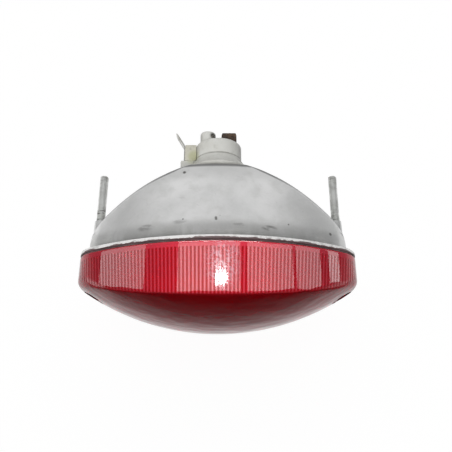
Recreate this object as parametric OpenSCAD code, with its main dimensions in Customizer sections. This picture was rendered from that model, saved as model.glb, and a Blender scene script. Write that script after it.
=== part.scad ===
// Motorcycle tail light: a die-cast bowl with a red lens, held by two long screws, and a
// twist-in bulb holder with a bayonet bulb. Millimetres. The light shines towards -Y.
// The origin is midway between the two screws, in the plane where the housing's bosses
// meet the bracket. +Z is up and +X is along the lamp's width.

/* [Outline] */
// Distance from the middle to the centre of each end curve
end_x = 60; // [52:0.5:66]
// Radius of the end curves
end_r = 20; // [18.5:0.5:24]
// Distance from the long axis to the centre of each side curve
side_z = 91; // [84:1:100]

/* [Housing] */
// Distance from the bracket plane forward to the flange's front face
housing_depth = 23.8; // [19.5:0.1:27.5]
// Thickness of the flange
flange_t = 2.3; // [1.2:0.1:2.5]
// How far the bowl's wall stands inside the outline
wall_inset = 4.7; // [4:0.1:5.2]
// Thickness of the bowl's wall
wall_t = 2.2; // [1.6:0.1:2.8]
// Length of the straight band of wall behind the flange's front face
band_len = 9.8; // [6:0.1:12]
// Inward slope of the wall beyond the band, as a ratio
wall_slope = 0.26; // [0.2:0.01:0.33]
// Distance from the bracket plane back to the bulb holder's seat
seat_y = 27.5; // [25.5:0.5:30.5]
// Distance from the seat back to the point where the bowl's curve would close
bowl_tip = 5.4; // [4.3:0.1:6.5]
// Focal length of the bowl's curve
focal_len = 33.2; // [31:0.1:35]
// Thickness of the seat
seat_t = 2.5; // [2:0.1:3]

/* [Screws] */
// Distance from the outline's end to the middle of a screw
screw_inset = 9.25; // [8.5:0.25:10]
// Outer diameter of a screw's thread
screw_d = 5; // [4.6:0.1:5]
// Diameter of a screw's shank
shank_d = 4.6; // [4.2:0.1:4.6]
// Length of a screw under its head
screw_len = 64.5; // [60:0.5:75]
// Diameter of a screw head
head_d = 9.4; // [8.6:0.1:9.6]
// Height of a screw head
head_h = 3.2; // [2.6:0.1:3.6]
// Width of the cross recess in a head
recess_w = 5; // [4:0.1:5.4]
// Depth of the cross recess
recess_t = 1.8; // [1.2:0.1:2.2]
// Clearance round a screw in the holes it passes through
screw_gap = 0.15; // [0.1:0.05:0.2]
// Diameter of a boss at the bracket plane
boss_d = 6.6; // [6.5:0.1:7.4]
// Diameter of a boss at the flange
boss_foot_d = 8; // [7.8:0.1:9]
// Chamfer at the mouth of a boss
boss_chamfer = 0.2; // [0.1:0.05:0.25]

/* [Lens] */
// Thickness of the lens wall
lens_t = 2.8; // [2.2:0.1:3.2]
// Distance from the lens rim to the tip of the crown
lens_depth = 41.5; // [38:0.5:48]
// Radius of the crown along the lamp's width
crown_long_r = 138; // [130:1:160]
// Radius of the crown across the lamp's height
crown_cross_r = 63; // [55:0.5:70]
// Distance from the lens rim to the floor of a screw recess
recess_floor = 8.5; // [7.5:0.5:10]
// Diameter of the column round a screw
column_d = 14.4; // [14:0.1:15]
// Diameter of a screw recess
recess_d = 11.2; // [10.8:0.1:11.6]
// Thickness of the lens gasket
gasket_t = 1.2; // [1:0.1:2.5]
// How far the gasket's edge lies inside the outline
gasket_inset = 0.6; // [0.4:0.1:1]
// Width of the gasket
gasket_w = 3.2; // [2.8:0.1:3.6]
// Diameter of the gasket's eyelet round a screw
eyelet_d = 12.6; // [12:0.1:13.4]
// Thickness of a sealing washer
washer_t = 1; // [0.8:0.1:1.4]
// Outer diameter of a sealing washer
washer_d = 9.8; // [9:0.1:10.4]
// Clearance of a washer round its screw's shank
washer_gap = 0.35; // [0.3:0.05:0.4]

/* [Bulb holder] */
// Diameter of the hole in the seat
seat_hole_d = 25.4; // [25:0.1:26]
// Clearance of the holder in the seat's hole
spigot_gap = 0.3; // [0.2:0.05:0.4]
// Width of the holder's sealing ring
seal_w = 5.4; // [3:0.1:6]
// Diameter over the locking lugs
lug_span = 30; // [29:0.1:31]
// Thickness of a locking lug
lug_t = 2; // [1.6:0.1:2.6]
// Width of a locking lug, as an angle
lug_angle = 30; // [24:1:34]
// Turn that frees the holder, as an angle
twist_angle = 45; // [42:1:50]
// Clearance round the lugs
lug_gap = 0.35; // [0.3:0.05:0.5]
// Thickness of the holder's sealing ring
seal_t = 1.2; // [1:0.1:1.6]
// Diameter of the collar's foot
foot_d = 40.8; // [39:0.2:43]
// Height of the upright edge of the collar's foot
foot_h = 2.6; // [2:0.1:3]
// Height of the collar's flared skirt
skirt_h = 8.5; // [7.5:0.1:9.5]
// Diameter of the cap
cap_d = 28.7; // [28.3:0.1:30]
// Room for the spring between the barrel's end and the cap's end
spring_room = 3.2; // [2.8:0.1:4]
// Thickness of the cap's end
cap_end_t = 2; // [1.6:0.1:2.4]
// Rounding at the cap's edge
cap_round = 1.2; // [0.8:0.1:1.6]
// Reach of the finger tab from the lamp's axis
tab_reach = 23.4; // [22.6:0.1:26]
// Width of the finger tab
tab_w = 10; // [8:0.2:12]
// Thickness of the finger tab
tab_h = 7.7; // [6:0.1:8.4]

/* [Terminals] */
// Diameter of the round terminal post
post_d = 9.6; // [8.8:0.1:10.2]
// Height of the post above the cap
post_h = 7.2; // [6:0.1:9]
// Place of the post along the width
post_x = -6.5; // [-7:0.1:-5.8]
// Place of the post across the height
post_z = 5; // [4:0.1:6]
// Outer diameter of the sleeve in the post
sleeve_d = 5; // [4.4:0.1:5.4]
// Bore of the sleeve
sleeve_bore = 3.4; // [3:0.1:3.6]
// Diameter of the wire hole in the post's side
wire_hole_d = 3.2; // [2:0.1:3.4]
// Width of the clamp terminal
clamp_w = 9.3; // [8:0.1:9.8]
// Height of the clamp terminal
clamp_h = 9; // [7:0.1:10]
// Depth of the clamp terminal
clamp_depth = 6.5; // [5.5:0.1:7]
// Thickness of the clamp terminal's metal
clamp_t = 1.2; // [0.8:0.1:1.5]
// Place of the clamp terminal's front across the height
clamp_z = 5; // [4:0.1:5.4]
// Place of the clamp terminal along the width
clamp_x = 6.65; // [6.2:0.05:7]
// Width of the insulator block
block_w = 6.2; // [5.6:0.1:6.6]
// Height of the insulator block
block_h = 11; // [9:0.1:13]
// Width of the blade terminal
blade_w = 6.3; // [4.8:0.1:6.6]
// Thickness of the blade terminal
blade_t = 0.8; // [0.5:0.05:1]
// Length of the blade's bent end
blade_len = 11.2; // [8:0.1:13]
// Outward bend of the blade, as an angle
blade_bend = 30; // [10:1:40]
// Depth of the blade's foot in the tab
blade_foot = 4; // [3:0.1:5]

/* [Bulb] */
// Diameter of the bulb's cap
bulb_cap_d = 15; // [14.6:0.1:15]
// Length of the bulb's cap
bulb_cap_len = 18.5; // [17:0.5:20]
// Diameter of the bulb's glass
bulb_glass_d = 25; // [22:0.5:26]
// Thickness of the bulb's glass
bulb_glass_t = 0.8; // [0.6:0.1:1]
// Distance from the lower pin to the light's centre
light_centre = 31.8; // [30:0.1:33]
// Diameter of a bulb pin
pin_d = 2; // [1.8:0.1:2]
// How far a bulb pin stands out of the bulb's cap
pin_stand = 1.1; // [0.9:0.05:1.3]
// Offset between the two pins along the bulb
pin_offset = 3; // [2:0.1:3.2]
// Distance from the bulb's contacts to the lower pin
pin_to_contact = 7.4; // [6.8:0.1:8]
// Travel of the bulb when it is pressed in
push_travel = 2.5; // [1.5:0.1:2.8]
// Running clearance round the bulb's cap
barrel_gap = 0.1; // [0.06:0.01:0.1]
// Thickness of the bayonet barrel
barrel_t = 0.8; // [0.6:0.1:1]
// Thickness of the contact carrier
carrier_t = 2.6; // [2.2:0.1:3]
// Wire of the contact spring
spring_wire = 0.8; // [0.6:0.1:0.9]
// Mean diameter of the contact spring
spring_d = 11.4; // [11:0.1:12]
// Turns of the contact spring
spring_turns = 3; // [2:0.5:3]

/* [Hidden] */
$fn = 96;

// A cut runs past the face it opens by this much
past = 1;
// Flat faces of two pieces that lie face to face are this far apart
touch = 0.02;

// Radius of the side curves, which meet the end curves in a smooth line
side_r = norm([end_x, side_z]) + end_r;
half_len = end_x + end_r;
half_high = side_r - side_z;
// Direction, from the long axis, in which an end curve meets a side curve
meet_angle = atan2(side_z, end_x);
// Flats that stand for each of the four curves where the bowl's wall slopes
wall_flats = 14;

// Housing and lens, from the bracket plane forward and back
flange_y = -housing_depth;
band_end_y = flange_y + band_len;
lens_rim_y = flange_y - gasket_t;
crown_y = lens_rim_y - lens_depth;
bowl_tip_y = seat_y + bowl_tip;
inner_seat_y = seat_y - seat_t;

// Screws, their holes and their heads
screw_x = half_len - screw_inset;
// The thread runs from just behind the bracket plane to the tip
thread_y = 0.3;
screw_hole_d = screw_d + 2 * screw_gap;
head_seat_y = lens_rim_y - recess_floor - washer_t;
tip_chamfer = 0.5;
head_round = 2;
dome_share = 2 / 3;
recess_bar = 1.1;
round_steps = 6;

// Bulb: its pins put the light at the bowl's focus, and its contacts follow
pin_y = bowl_tip_y - focal_len + light_centre;
light_y = pin_y - light_centre;
contact_y = pin_y + pin_to_contact;
contact_x = 3.1;
contact_h = 0.8;
bulb_cap_y = contact_y - contact_h - bulb_cap_len;
bulb_cap_t = 0.5;
bulb_end_t = 1.5;
glass_gap = 0.25;
glass_foot = 5;
glass_shoulder = 1;
glass_sweep = 130;
glass_steps = 16;
glass_neck_r = bulb_cap_d / 2 - bulb_cap_t - glass_gap;
glass_neck_y = light_y + bulb_glass_d / 2 + glass_shoulder;
glass_end_y = bulb_cap_y + glass_foot;
stem_r = 3;
stem_to_light = 9;
stem_edge = 1.5;
stem_top_y = light_y + stem_to_light;
stem_flare_y = glass_end_y - stem_edge;
wire_r = 0.25;
filament_r = 0.45;
stop_reach = 2.2;
stop_z = -1;
tail_reach = 1.7;
tail_z = 1.6;
tail_back = 2.8;

// Barrel, contact carrier and spring, each behind the one before
barrel_bore = bulb_cap_d + 2 * barrel_gap;
barrel_d = barrel_bore + 2 * barrel_t;
seat_gap = 0.05;
barrel_lip = 2;
barrel_mouth_y = bulb_cap_y - barrel_lip;
slot_play = 0.5;
slot_w = pin_d + slot_play;
slot_turn = 30;
slot_lap = 21;
button_h = 0.5;
button_back_h = 0.8;
button_d = 3;
rivet_d = 2.2;
carrier_gap = 0.1;
carrier_y = contact_y + button_h;
carrier_back_y = carrier_y + carrier_t;
end_play = 0.4;
barrel_end_y = carrier_back_y + push_travel + end_play;
barrel_relief_d = bulb_cap_d + 2 * pin_stand + 2 * end_play;
relief_end_y = pin_y + pin_offset + push_travel + pin_d / 2 + slot_play;

// Holder: collar on its sealing ring, and the cap over the barrel's end
seal_y = seat_y + touch;
foot_y = seat_y + seal_t + 2 * touch;
skirt_y = foot_y + foot_h;
cap_y = skirt_y + skirt_h;
skirt_ledge = 0.15;
cavity_end_y = barrel_end_y + spring_room;
cap_end_y = cavity_end_y + cap_end_t;
spring_y0 = carrier_back_y + spring_wire / 2 + touch;
spring_y1 = cavity_end_y - spring_wire / 2 - touch;
spigot_d = seat_hole_d - 2 * spigot_gap;
lug_y = inner_seat_y - lug_gap - lug_t;
notch_play = 6;
notch_angle = lug_angle + notch_play;
seal_inset = 0.5;
seal_bore = seat_hole_d + 2 * seal_inset;
tab_root = 1;

// Terminals: block and blade on the tab, post and clamp on the cap
tab_top_y = skirt_y + tab_h;
block_gap = 0.25;
block_wrap = 1;
block_x = -cap_d / 2 - block_gap - block_w / 2;
blade_x = block_x - block_w / 2 - touch - blade_t / 2;
blade_bend_y = tab_top_y + block_h;
blade_hole_d = 1.7;
blade_hole_share = 0.7;
post_top_y = cap_end_y + post_h;
sleeve_y = cap_end_y - cap_end_t / 2;
sleeve_floor = 1;
wire_hole_depth = 3;
wire_hole_y = post_top_y - wire_hole_depth;
wire_hole_turn = 45;

// Turns a shape drawn along Z so that it lies along Y, its top towards the bracket
module along_y(y = 0) {
    translate([0, y, 0])
        rotate([-90, 0, 0])
            children();
}

// The lamp's outline, drawn in by an inset: two side curves and two end curves
module outline(inset = 0) {
    flat_x = end_x + (end_r - inset) * cos(meet_angle);
    intersection() {
        translate([0, side_z]) circle(side_r - inset, $fn = 360);
        translate([0, -side_z]) circle(side_r - inset, $fn = 360);
        square([2 * flat_x, 4 * half_high], center = true);
    }
    for (side = [-1, 1])
        translate([side * end_x, 0]) circle(end_r - inset);
}

// A block with the lamp's outline from one height to another
module outline_block(y0, y1, inset = 0) {
    along_y(y0)
        linear_extrude(y1 - y0)
            outline(inset);
}

// Points round the outline, drawn in by an inset, with each curve in short flats
function wall_ring(inset) = [
    for (turn = [0, 180])
        each [
            for (i = [0:wall_flats - 1])
                let (a = turn + meet_angle * (2 * i / wall_flats - 1))
                    [end_x * cos(turn) + (end_r - inset) * cos(a), (end_r - inset) * sin(a)],
            for (i = [0:wall_flats - 1])
                let (a = turn + 90 + (90 - meet_angle) * (2 * i / wall_flats - 1))
                    [(side_r - inset) * cos(a), (side_r - inset) * sin(a) - side_z * cos(turn)]
        ]
];

// The bowl's round body: a parabola spun about the lamp's axis, cut flat at the seat
module bowl_curve(tip_y, flat_y) {
    front_y = flange_y - 2 * past;
    flat_r = sqrt((tip_y - flat_y) * 4 * focal_len);
    front_r = sqrt((tip_y - front_y) * 4 * focal_len);
    steps = 16;
    along_y()
        rotate_extrude($fn = 180)
            polygon([
                [0, flat_y],
                [0, front_y],
                for (i = [0:steps])
                    let (r = front_r + (flat_r - front_r) * i / steps)
                        [r, tip_y - r * r / (4 * focal_len)]
            ]);
}

// The bowl as a solid: an oval wall, upright at first and then sloping in, ended by the round body
module bowl_block(y0, tip_y, flat_y, inset) {
    top_y = flat_y + past;
    drawn = wall_ring(inset);
    count = len(drawn);
    levels = [[y0, inset], [band_end_y, inset], [top_y, inset + (top_y - band_end_y) * wall_slope]];
    points = [for (level = levels) for (p = wall_ring(level[1])) [p[0], level[0], p[1]]];
    intersection() {
        polyhedron(
            points = points,
            faces = [
                [for (i = [count - 1:-1:0]) i],
                [for (i = [0:count - 1]) 2 * count + i],
                for (row = [0, 1], i = [0:count - 1])
                    let (a = row * count + i, b = row * count + (i + 1) % count)
                        [a, b, b + count, a + count]
            ]
        );
        bowl_curve(tip_y, flat_y);
    }
}

// Both screw places
module at_screws() {
    for (side = [-1, 1])
        translate([side * screw_x, 0, 0])
            children();
}

// A slice of a round, as a wedge of that angle about the +X direction
module wedge(y0, y1, radius, angle) {
    along_y(y0)
        linear_extrude(y1 - y0)
            polygon([
                [0, 0],
                for (i = [0:4])
                    radius * [cos(angle * (i / 4 - 0.5)), sin(angle * (i / 4 - 0.5))]
            ]);
}

// A boss for a screw: a slim cone from the flange to the bracket plane, chamfered at its end
module boss() {
    along_y()
        rotate_extrude()
            polygon([
                [0, flange_y],
                [boss_foot_d / 2, flange_y],
                [boss_d / 2, -boss_chamfer],
                [boss_d / 2 - boss_chamfer, 0],
                [0, 0]
            ]);
}

module housing() {
    color([0.78, 0.78, 0.77])
        difference() {
            union() {
                outline_block(flange_y, flange_y + flange_t);
                bowl_block(flange_y, bowl_tip_y, seat_y, wall_inset);
                at_screws() boss();
            }
            difference() {
                bowl_block(flange_y - past, bowl_tip_y - wall_t, inner_seat_y, wall_inset + wall_t);
                at_screws() boss();
                for (side = [-1, 1])
                    translate([side * (screw_x - boss_foot_d / 2), flange_y, -end_r])
                        mirror([side < 0 ? 1 : 0, 0, 0])
                            cube([half_len, flange_t, 2 * end_r]);
            }
            at_screws()
                along_y(flange_y - past)
                    cylinder(h = housing_depth + 2 * past, d = screw_hole_d);
            along_y(inner_seat_y - past)
                cylinder(h = seat_t + 2 * past, d = seat_hole_d);
            for (turn = [twist_angle, twist_angle + 180])
                rotate([0, turn, 0])
                    intersection() {
                        wedge(inner_seat_y - past, seat_y + past, lug_span, notch_angle);
                        along_y(inner_seat_y - past)
                            cylinder(h = seat_t + 2 * past, d = lug_span + 2 * lug_gap);
                    }
        }
}

// The lens's crown: an arc along the lamp's width, spun about an axis behind it
module crown_body(inset) {
    reach = half_len + past;
    steps = 36;
    translate([0, crown_y + crown_cross_r, 0])
        rotate([0, 90, 0])
            rotate_extrude($fn = 240)
                polygon([
                    [0, reach],
                    [0, -reach],
                    for (i = [0:steps])
                        let (
                            x = reach * (2 * i / steps - 1),
                            arc = sqrt(pow(crown_long_r - inset, 2) - x * x)
                        )
                            [crown_cross_r - crown_long_r + arc, x]
                ]);
}

module lens_solid(back_y, inset) {
    intersection() {
        outline_block(crown_y - past, back_y, inset);
        crown_body(inset);
    }
}

module lens() {
    color([0.72, 0.06, 0.1])
        difference() {
            lens_solid(lens_rim_y, 0);
            difference() {
                lens_solid(lens_rim_y + past, lens_t);
                at_screws()
                    along_y(crown_y)
                        cylinder(h = lens_depth, d = column_d);
            }
            at_screws() {
                along_y(crown_y - past)
                    cylinder(h = lens_depth + 2 * past, d = screw_hole_d);
                along_y(crown_y - past)
                    cylinder(h = lens_depth + past - recess_floor, d = recess_d);
            }
        }
}

module lens_gasket() {
    color([0.16, 0.15, 0.15])
        along_y(lens_rim_y + touch)
            linear_extrude(gasket_t - 2 * touch)
                difference() {
                    union() {
                        difference() {
                            outline(gasket_inset);
                            outline(gasket_inset + gasket_w);
                        }
                        for (side = [-1, 1])
                            translate([side * screw_x, 0]) circle(d = eyelet_d);
                    }
                    for (side = [-1, 1])
                        translate([side * screw_x, 0]) circle(d = screw_hole_d);
                }
}

// A long machine screw with a domed head and a cross recess, its head towards -Y
module long_screw(side) {
    head_face_y = head_seat_y - head_h;
    translate([side * screw_x, 0, 0])
        difference() {
            along_y()
                rotate_extrude()
                    polygon([
                        [0, head_seat_y + screw_len],
                        [screw_d / 2 - tip_chamfer, head_seat_y + screw_len],
                        [screw_d / 2, head_seat_y + screw_len - tip_chamfer],
                        [screw_d / 2, thread_y],
                        [shank_d / 2, thread_y],
                        [shank_d / 2, head_seat_y],
                        [head_d / 2, head_seat_y],
                        for (i = [0:round_steps])
                            let (a = 90 * i / round_steps)
                                [
                                    head_d / 2 - head_round * (1 - cos(a)),
                                    head_face_y + dome_share * head_h * (1 - sin(a))
                                ],
                        [0, head_face_y]
                    ]);
            for (turn = [0, 90])
                rotate([0, turn, 0])
                    translate([0, head_face_y, 0])
                        cube([recess_w, 2 * recess_t, recess_bar], center = true);
        }
}

module screw_left() {
    color([0.7, 0.7, 0.68]) long_screw(-1);
}

module screw_right() {
    color([0.7, 0.7, 0.68]) long_screw(1);
}

// A flat sealing washer under a screw's head
module screw_seal(side) {
    translate([side * screw_x, 0, 0])
        along_y(head_seat_y + touch)
            difference() {
                cylinder(h = washer_t - 2 * touch, d = washer_d);
                translate([0, 0, -past])
                    cylinder(h = washer_t + 2 * past, d = shank_d + 2 * washer_gap);
            }
}

module screw_seal_left() {
    color([0.2, 0.2, 0.2]) screw_seal(-1);
}

module screw_seal_right() {
    color([0.2, 0.2, 0.2]) screw_seal(1);
}

module holder_seal() {
    color([0.13, 0.13, 0.13])
        along_y(seal_y)
            difference() {
                cylinder(h = seal_t, d = seal_bore + 2 * seal_w);
                translate([0, 0, -past])
                    cylinder(h = seal_t + 2 * past, d = seal_bore);
            }
}

// Room round the barrel for the ends of the bulb's pins, as far as they travel
module pin_relief() {
    along_y(lug_y - past)
        cylinder(h = relief_end_y - lug_y + past, d = barrel_relief_d);
}

module holder_collar() {
    color([0.82, 0.82, 0.8])
        difference() {
            union() {
                along_y()
                    rotate_extrude()
                        polygon([
                            [0, lug_y],
                            [spigot_d / 2, lug_y],
                            [spigot_d / 2, foot_y],
                            [foot_d / 2, foot_y],
                            [foot_d / 2, skirt_y],
                            [cap_d / 2 + skirt_ledge, cap_y],
                            [0, cap_y]
                        ]);
                for (turn = [0, 180])
                    rotate([0, turn, 0])
                        intersection() {
                            wedge(lug_y, lug_y + lug_t, lug_span, lug_angle);
                            along_y(lug_y)
                                cylinder(h = lug_t, d = lug_span);
                        }
                translate([-tab_reach, skirt_y, -tab_w / 2])
                    cube([tab_reach - barrel_relief_d / 2 - tab_root, tab_h, tab_w]);
            }
            along_y(lug_y - past)
                cylinder(h = cap_y - lug_y + 2 * past, d = barrel_d + 2 * seat_gap);
            pin_relief();
            translate([blade_x, tab_top_y - blade_foot, 0])
                cube([blade_t + 2 * seat_gap, 2 * blade_foot, blade_w + 2 * seat_gap], center = true);
        }
}

module holder_cap() {
    color([0.86, 0.86, 0.83])
        difference() {
            union() {
                along_y()
                    rotate_extrude()
                        polygon([
                            [0, cap_y + touch],
                            [cap_d / 2, cap_y + touch],
                            for (i = [0:round_steps])
                                let (a = 90 * i / round_steps)
                                    [
                                        cap_d / 2 - cap_round * (1 - cos(a)),
                                        cap_end_y - cap_round * (1 - sin(a))
                                    ],
                            [0, cap_end_y]
                        ]);
                translate([post_x, 0, post_z])
                    along_y(sleeve_y)
                        cylinder(h = post_top_y - sleeve_y, d = post_d);
            }
            along_y(cap_y - past)
                cylinder(h = cavity_end_y - cap_y + past, d = barrel_d + 2 * seat_gap);
            pin_relief();
            translate([post_x, 0, post_z])
                along_y(sleeve_y)
                    cylinder(h = post_top_y, d = sleeve_d + 2 * seat_gap);
            wire_hole();
        }
}

// The hole in the side of the post, aimed between the front and the right
module wire_hole() {
    translate([post_x, wire_hole_y, post_z])
        rotate([0, wire_hole_turn, 0])
            cylinder(h = post_d, d = wire_hole_d);
}

module tail_terminal() {
    color([0.7, 0.6, 0.35])
        difference() {
            translate([post_x, 0, post_z])
                along_y(sleeve_y + touch)
                    difference() {
                        cylinder(h = post_top_y - sleeve_y - 2 * touch, d = sleeve_d);
                        translate([0, 0, sleeve_floor])
                            cylinder(h = post_top_y, d = sleeve_bore);
                    }
            wire_hole();
        }
}

// A strip of corroded steel folded over into a clamp, its feet on the cap
module stop_terminal() {
    color([0.32, 0.26, 0.23])
        translate([clamp_x, cap_end_y + touch, clamp_z])
            difference() {
                translate([0, 0, -clamp_depth])
                    linear_extrude(clamp_depth)
                        polygon([
                            [-clamp_w / 2, 0],
                            [clamp_w / 2, 0],
                            [clamp_w / 2, clamp_h - clamp_t],
                            [clamp_w / 2 - clamp_t, clamp_h],
                            [-clamp_w / 2 + clamp_t, clamp_h],
                            [-clamp_w / 2, clamp_h - clamp_t]
                        ]);
                translate([-clamp_w, -past, -clamp_depth + clamp_t])
                    cube([2 * clamp_w, clamp_h - clamp_t + past, clamp_depth - 2 * clamp_t]);
            }
}

// The block's inner face is hollowed to follow the cap and the top of the skirt below it
module terminal_block() {
    cap_clear_r = cap_d / 2 + block_gap;
    block_end_y = tab_top_y + block_h + past;
    color([0.78, 0.76, 0.68])
        difference() {
            translate([block_x - block_w / 2, tab_top_y + touch, -tab_w / 2])
                cube([block_w + block_wrap, block_h, tab_w]);
            along_y()
                rotate_extrude()
                    polygon([
                        [0, skirt_y],
                        [foot_d / 2 + block_gap, skirt_y],
                        [cap_clear_r + skirt_ledge, cap_y],
                        [cap_clear_r, cap_y],
                        [cap_clear_r, block_end_y],
                        [0, block_end_y]
                    ]);
        }
}

// A flat blade that stands in the tab, runs up beside the block and bends outwards
module earth_blade() {
    foot = tab_top_y - blade_foot + touch;
    half = blade_t / 2;
    mitre = half * tan(blade_bend / 2);
    tip = blade_len * [-sin(blade_bend), cos(blade_bend)];
    across = half * [cos(blade_bend), sin(blade_bend)];
    color([0.73, 0.73, 0.7])
        translate([blade_x, 0, 0])
            difference() {
                translate([0, 0, -blade_w / 2])
                    linear_extrude(blade_w)
                        polygon([
                            [-half, foot],
                            [half, foot],
                            [half, blade_bend_y + mitre],
                            [0, blade_bend_y] + tip + across,
                            [0, blade_bend_y] + tip - across,
                            [-half, blade_bend_y - mitre]
                        ]);
                translate([0, blade_bend_y, 0])
                    rotate([0, 0, blade_bend])
                        translate([0, blade_len * blade_hole_share, 0])
                            rotate([0, 90, 0])
                                cylinder(h = 4 * blade_t, d = blade_hole_d, center = true);
            }
}

// The hooked slot of one pin, cut from the barrel's mouth: in, across and back a little
module pin_slot(pin_at) {
    across_y = pin_at + push_travel;
    rest_y = pin_at - slot_w / 2;
    rotate([0, -slot_turn, 0])
        translate([0, barrel_mouth_y - past, -slot_w / 2])
            cube([barrel_d, across_y - barrel_mouth_y + past, slot_w]);
    translate([0, rest_y, -slot_w / 2])
        cube([barrel_d, across_y - rest_y, slot_w]);
    rotate([0, -slot_turn / 2, 0])
        wedge(across_y - slot_w / 2, across_y + slot_w / 2, barrel_d, slot_turn + slot_lap);
}

module socket_shell() {
    color([0.74, 0.7, 0.6])
        difference() {
            along_y(barrel_mouth_y)
                cylinder(h = barrel_end_y - barrel_mouth_y, d = barrel_d);
            along_y(barrel_mouth_y - past)
                cylinder(h = barrel_end_y - barrel_mouth_y + 2 * past, d = barrel_bore);
            pin_slot(pin_y);
            rotate([0, 180, 0])
                pin_slot(pin_y + pin_offset);
        }
}

// Both button contacts' places
module at_contact(side) {
    translate([side * contact_x, 0, 0])
        children();
}

module contact_carrier() {
    color([0.55, 0.42, 0.3])
        difference() {
            along_y(carrier_y)
                cylinder(h = carrier_t, d = barrel_bore - 2 * carrier_gap);
            for (side = [-1, 1])
                at_contact(side)
                    along_y(carrier_y - past)
                        cylinder(h = carrier_t + 2 * past, d = rivet_d + 2 * seat_gap);
        }
}

// A headed contact riveted through the carrier
module button_contact(side) {
    at_contact(side)
        along_y()
            rotate_extrude()
                polygon([
                    [0, contact_y + touch],
                    [button_d / 2, contact_y + touch],
                    [button_d / 2, carrier_y - touch],
                    [rivet_d / 2, carrier_y - touch],
                    [rivet_d / 2, carrier_back_y + touch],
                    [button_d / 2, carrier_back_y + touch],
                    [button_d / 2, carrier_back_y + button_back_h],
                    [0, carrier_back_y + button_back_h]
                ]);
}

module stop_contact() {
    color([0.8, 0.62, 0.3]) button_contact(1);
}

module tail_contact() {
    color([0.8, 0.62, 0.3]) button_contact(-1);
}

// The spring's wire as a six-sided tube along a helix, between the carrier and the cap
function spring_point(t) = let (a = 360 * t) [
    spring_d / 2 * cos(a),
    spring_y0 + (spring_y1 - spring_y0) * t / spring_turns,
    spring_d / 2 * sin(a)
];

function spring_ring(t) = let (
    a = 360 * t,
    rise = (spring_y1 - spring_y0) / spring_turns,
    run = PI * spring_d,
    along = [-run * sin(a), rise, run * cos(a)] / norm([run, rise]),
    out = [cos(a), 0, sin(a)],
    side = cross(along, out)
) [
    for (k = [0:5])
        spring_point(t) + spring_wire / 2 * (cos(60 * k) * out + sin(60 * k) * side)
];

module contact_spring() {
    rings = ceil(spring_turns * 8);
    points = [for (i = [0:rings]) each spring_ring(i * spring_turns / rings)];
    middles = [for (i = [0:rings]) spring_point(i * spring_turns / rings)];
    apart = [for (i = [0:rings - 5], j = [i + 5:rings]) norm(middles[i] - middles[j])];
    echo(least_spring_gap = min(apart) - spring_wire);
    color([0.7, 0.7, 0.72])
        polyhedron(
            points = points,
            faces = [
                [0, 1, 2, 3, 4, 5],
                [for (k = [5:-1:0]) rings * 6 + k],
                for (i = [0:rings - 1], k = [0:5])
                    [i * 6 + k, (i + 1) * 6 + k, i * 6 + (k + 1) % 6],
                for (i = [0:rings - 1], k = [0:5])
                    [(i + 1) * 6 + k, (i + 1) * 6 + (k + 1) % 6, i * 6 + (k + 1) % 6]
            ]
        );
}

module bulb_base() {
    color([0.76, 0.72, 0.6])
        difference() {
            along_y(bulb_cap_y)
                cylinder(h = bulb_cap_len, d = bulb_cap_d);
            along_y(bulb_cap_y - past)
                cylinder(h = bulb_cap_len - bulb_end_t + past, d = bulb_cap_d - 2 * bulb_cap_t);
        }
}

// Two side pins, one further back, with their feet on the bulb's cap
module bulb_pins() {
    color([0.76, 0.72, 0.6])
        difference() {
            for (turn = [0, 180])
                rotate([0, turn, 0])
                    translate([0, pin_y + (turn == 0 ? 0 : pin_offset), 0])
                        rotate([0, 90, 0])
                            cylinder(h = bulb_cap_d / 2 + pin_stand, d = pin_d);
            along_y(pin_y - 2 * pin_d)
                cylinder(h = 4 * pin_d + pin_offset, d = bulb_cap_d + touch);
        }
}

// Two solder contacts on the end of the bulb's cap
module bulb_contacts() {
    color([0.7, 0.7, 0.72])
        for (side = [-1, 1])
            at_contact(side)
                along_y(contact_y - contact_h + touch)
                    cylinder(h = contact_h - touch, d = button_d);
}

// The outer or inner line of the glass, from its tip to its open neck
function glass_line(inset) = [
    for (i = [0:glass_steps])
        let (a = glass_sweep * i / glass_steps, r = bulb_glass_d / 2 - inset)
            [r * sin(a), light_y - r * cos(a)],
    [glass_neck_r - inset, glass_neck_y],
    [glass_neck_r - inset, glass_end_y]
];

module bulb_glass() {
    outer = glass_line(0);
    inner = glass_line(bulb_glass_t);
    last = len(inner) - 1;
    color([0.85, 0.88, 0.9])
        along_y()
            rotate_extrude()
                polygon(concat(outer, [for (i = [0:last]) inner[last - i]]));
}

// The glass mount that closes the neck and carries the filament wires
module bulb_stem() {
    flare_r = glass_neck_r - bulb_glass_t - seat_gap;
    color([0.8, 0.84, 0.86])
        along_y()
            rotate_extrude()
                polygon([
                    [0, stem_top_y],
                    [stem_r, stem_top_y],
                    [stem_r, stem_flare_y - flare_r / 2],
                    [flare_r, stem_flare_y],
                    [flare_r, glass_end_y],
                    [0, glass_end_y]
                ]);
}

// A filament across two wires that stand on the glass mount
module filament(y, z, reach) {
    for (side = [-1, 1])
        translate([side * reach, 0, z])
            along_y(y)
                cylinder(h = stem_top_y - touch - y, r = wire_r);
    translate([-reach - wire_r, y, z])
        rotate([0, 90, 0])
            cylinder(h = 2 * (reach + wire_r), r = filament_r);
}

module stop_filament() {
    color([0.5, 0.5, 0.52]) filament(light_y, stop_z, stop_reach);
}

module tail_filament() {
    color([0.5, 0.5, 0.52]) filament(light_y + tail_back, tail_z, tail_reach);
}

housing();
lens();
lens_gasket();
screw_left();
screw_right();
screw_seal_left();
screw_seal_right();
holder_seal();
holder_collar();
holder_cap();
terminal_block();
earth_blade();
tail_terminal();
stop_terminal();
socket_shell();
contact_carrier();
stop_contact();
tail_contact();
contact_spring();
bulb_base();
bulb_pins();
bulb_contacts();
bulb_glass();
bulb_stem();
stop_filament();
tail_filament();
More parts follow.
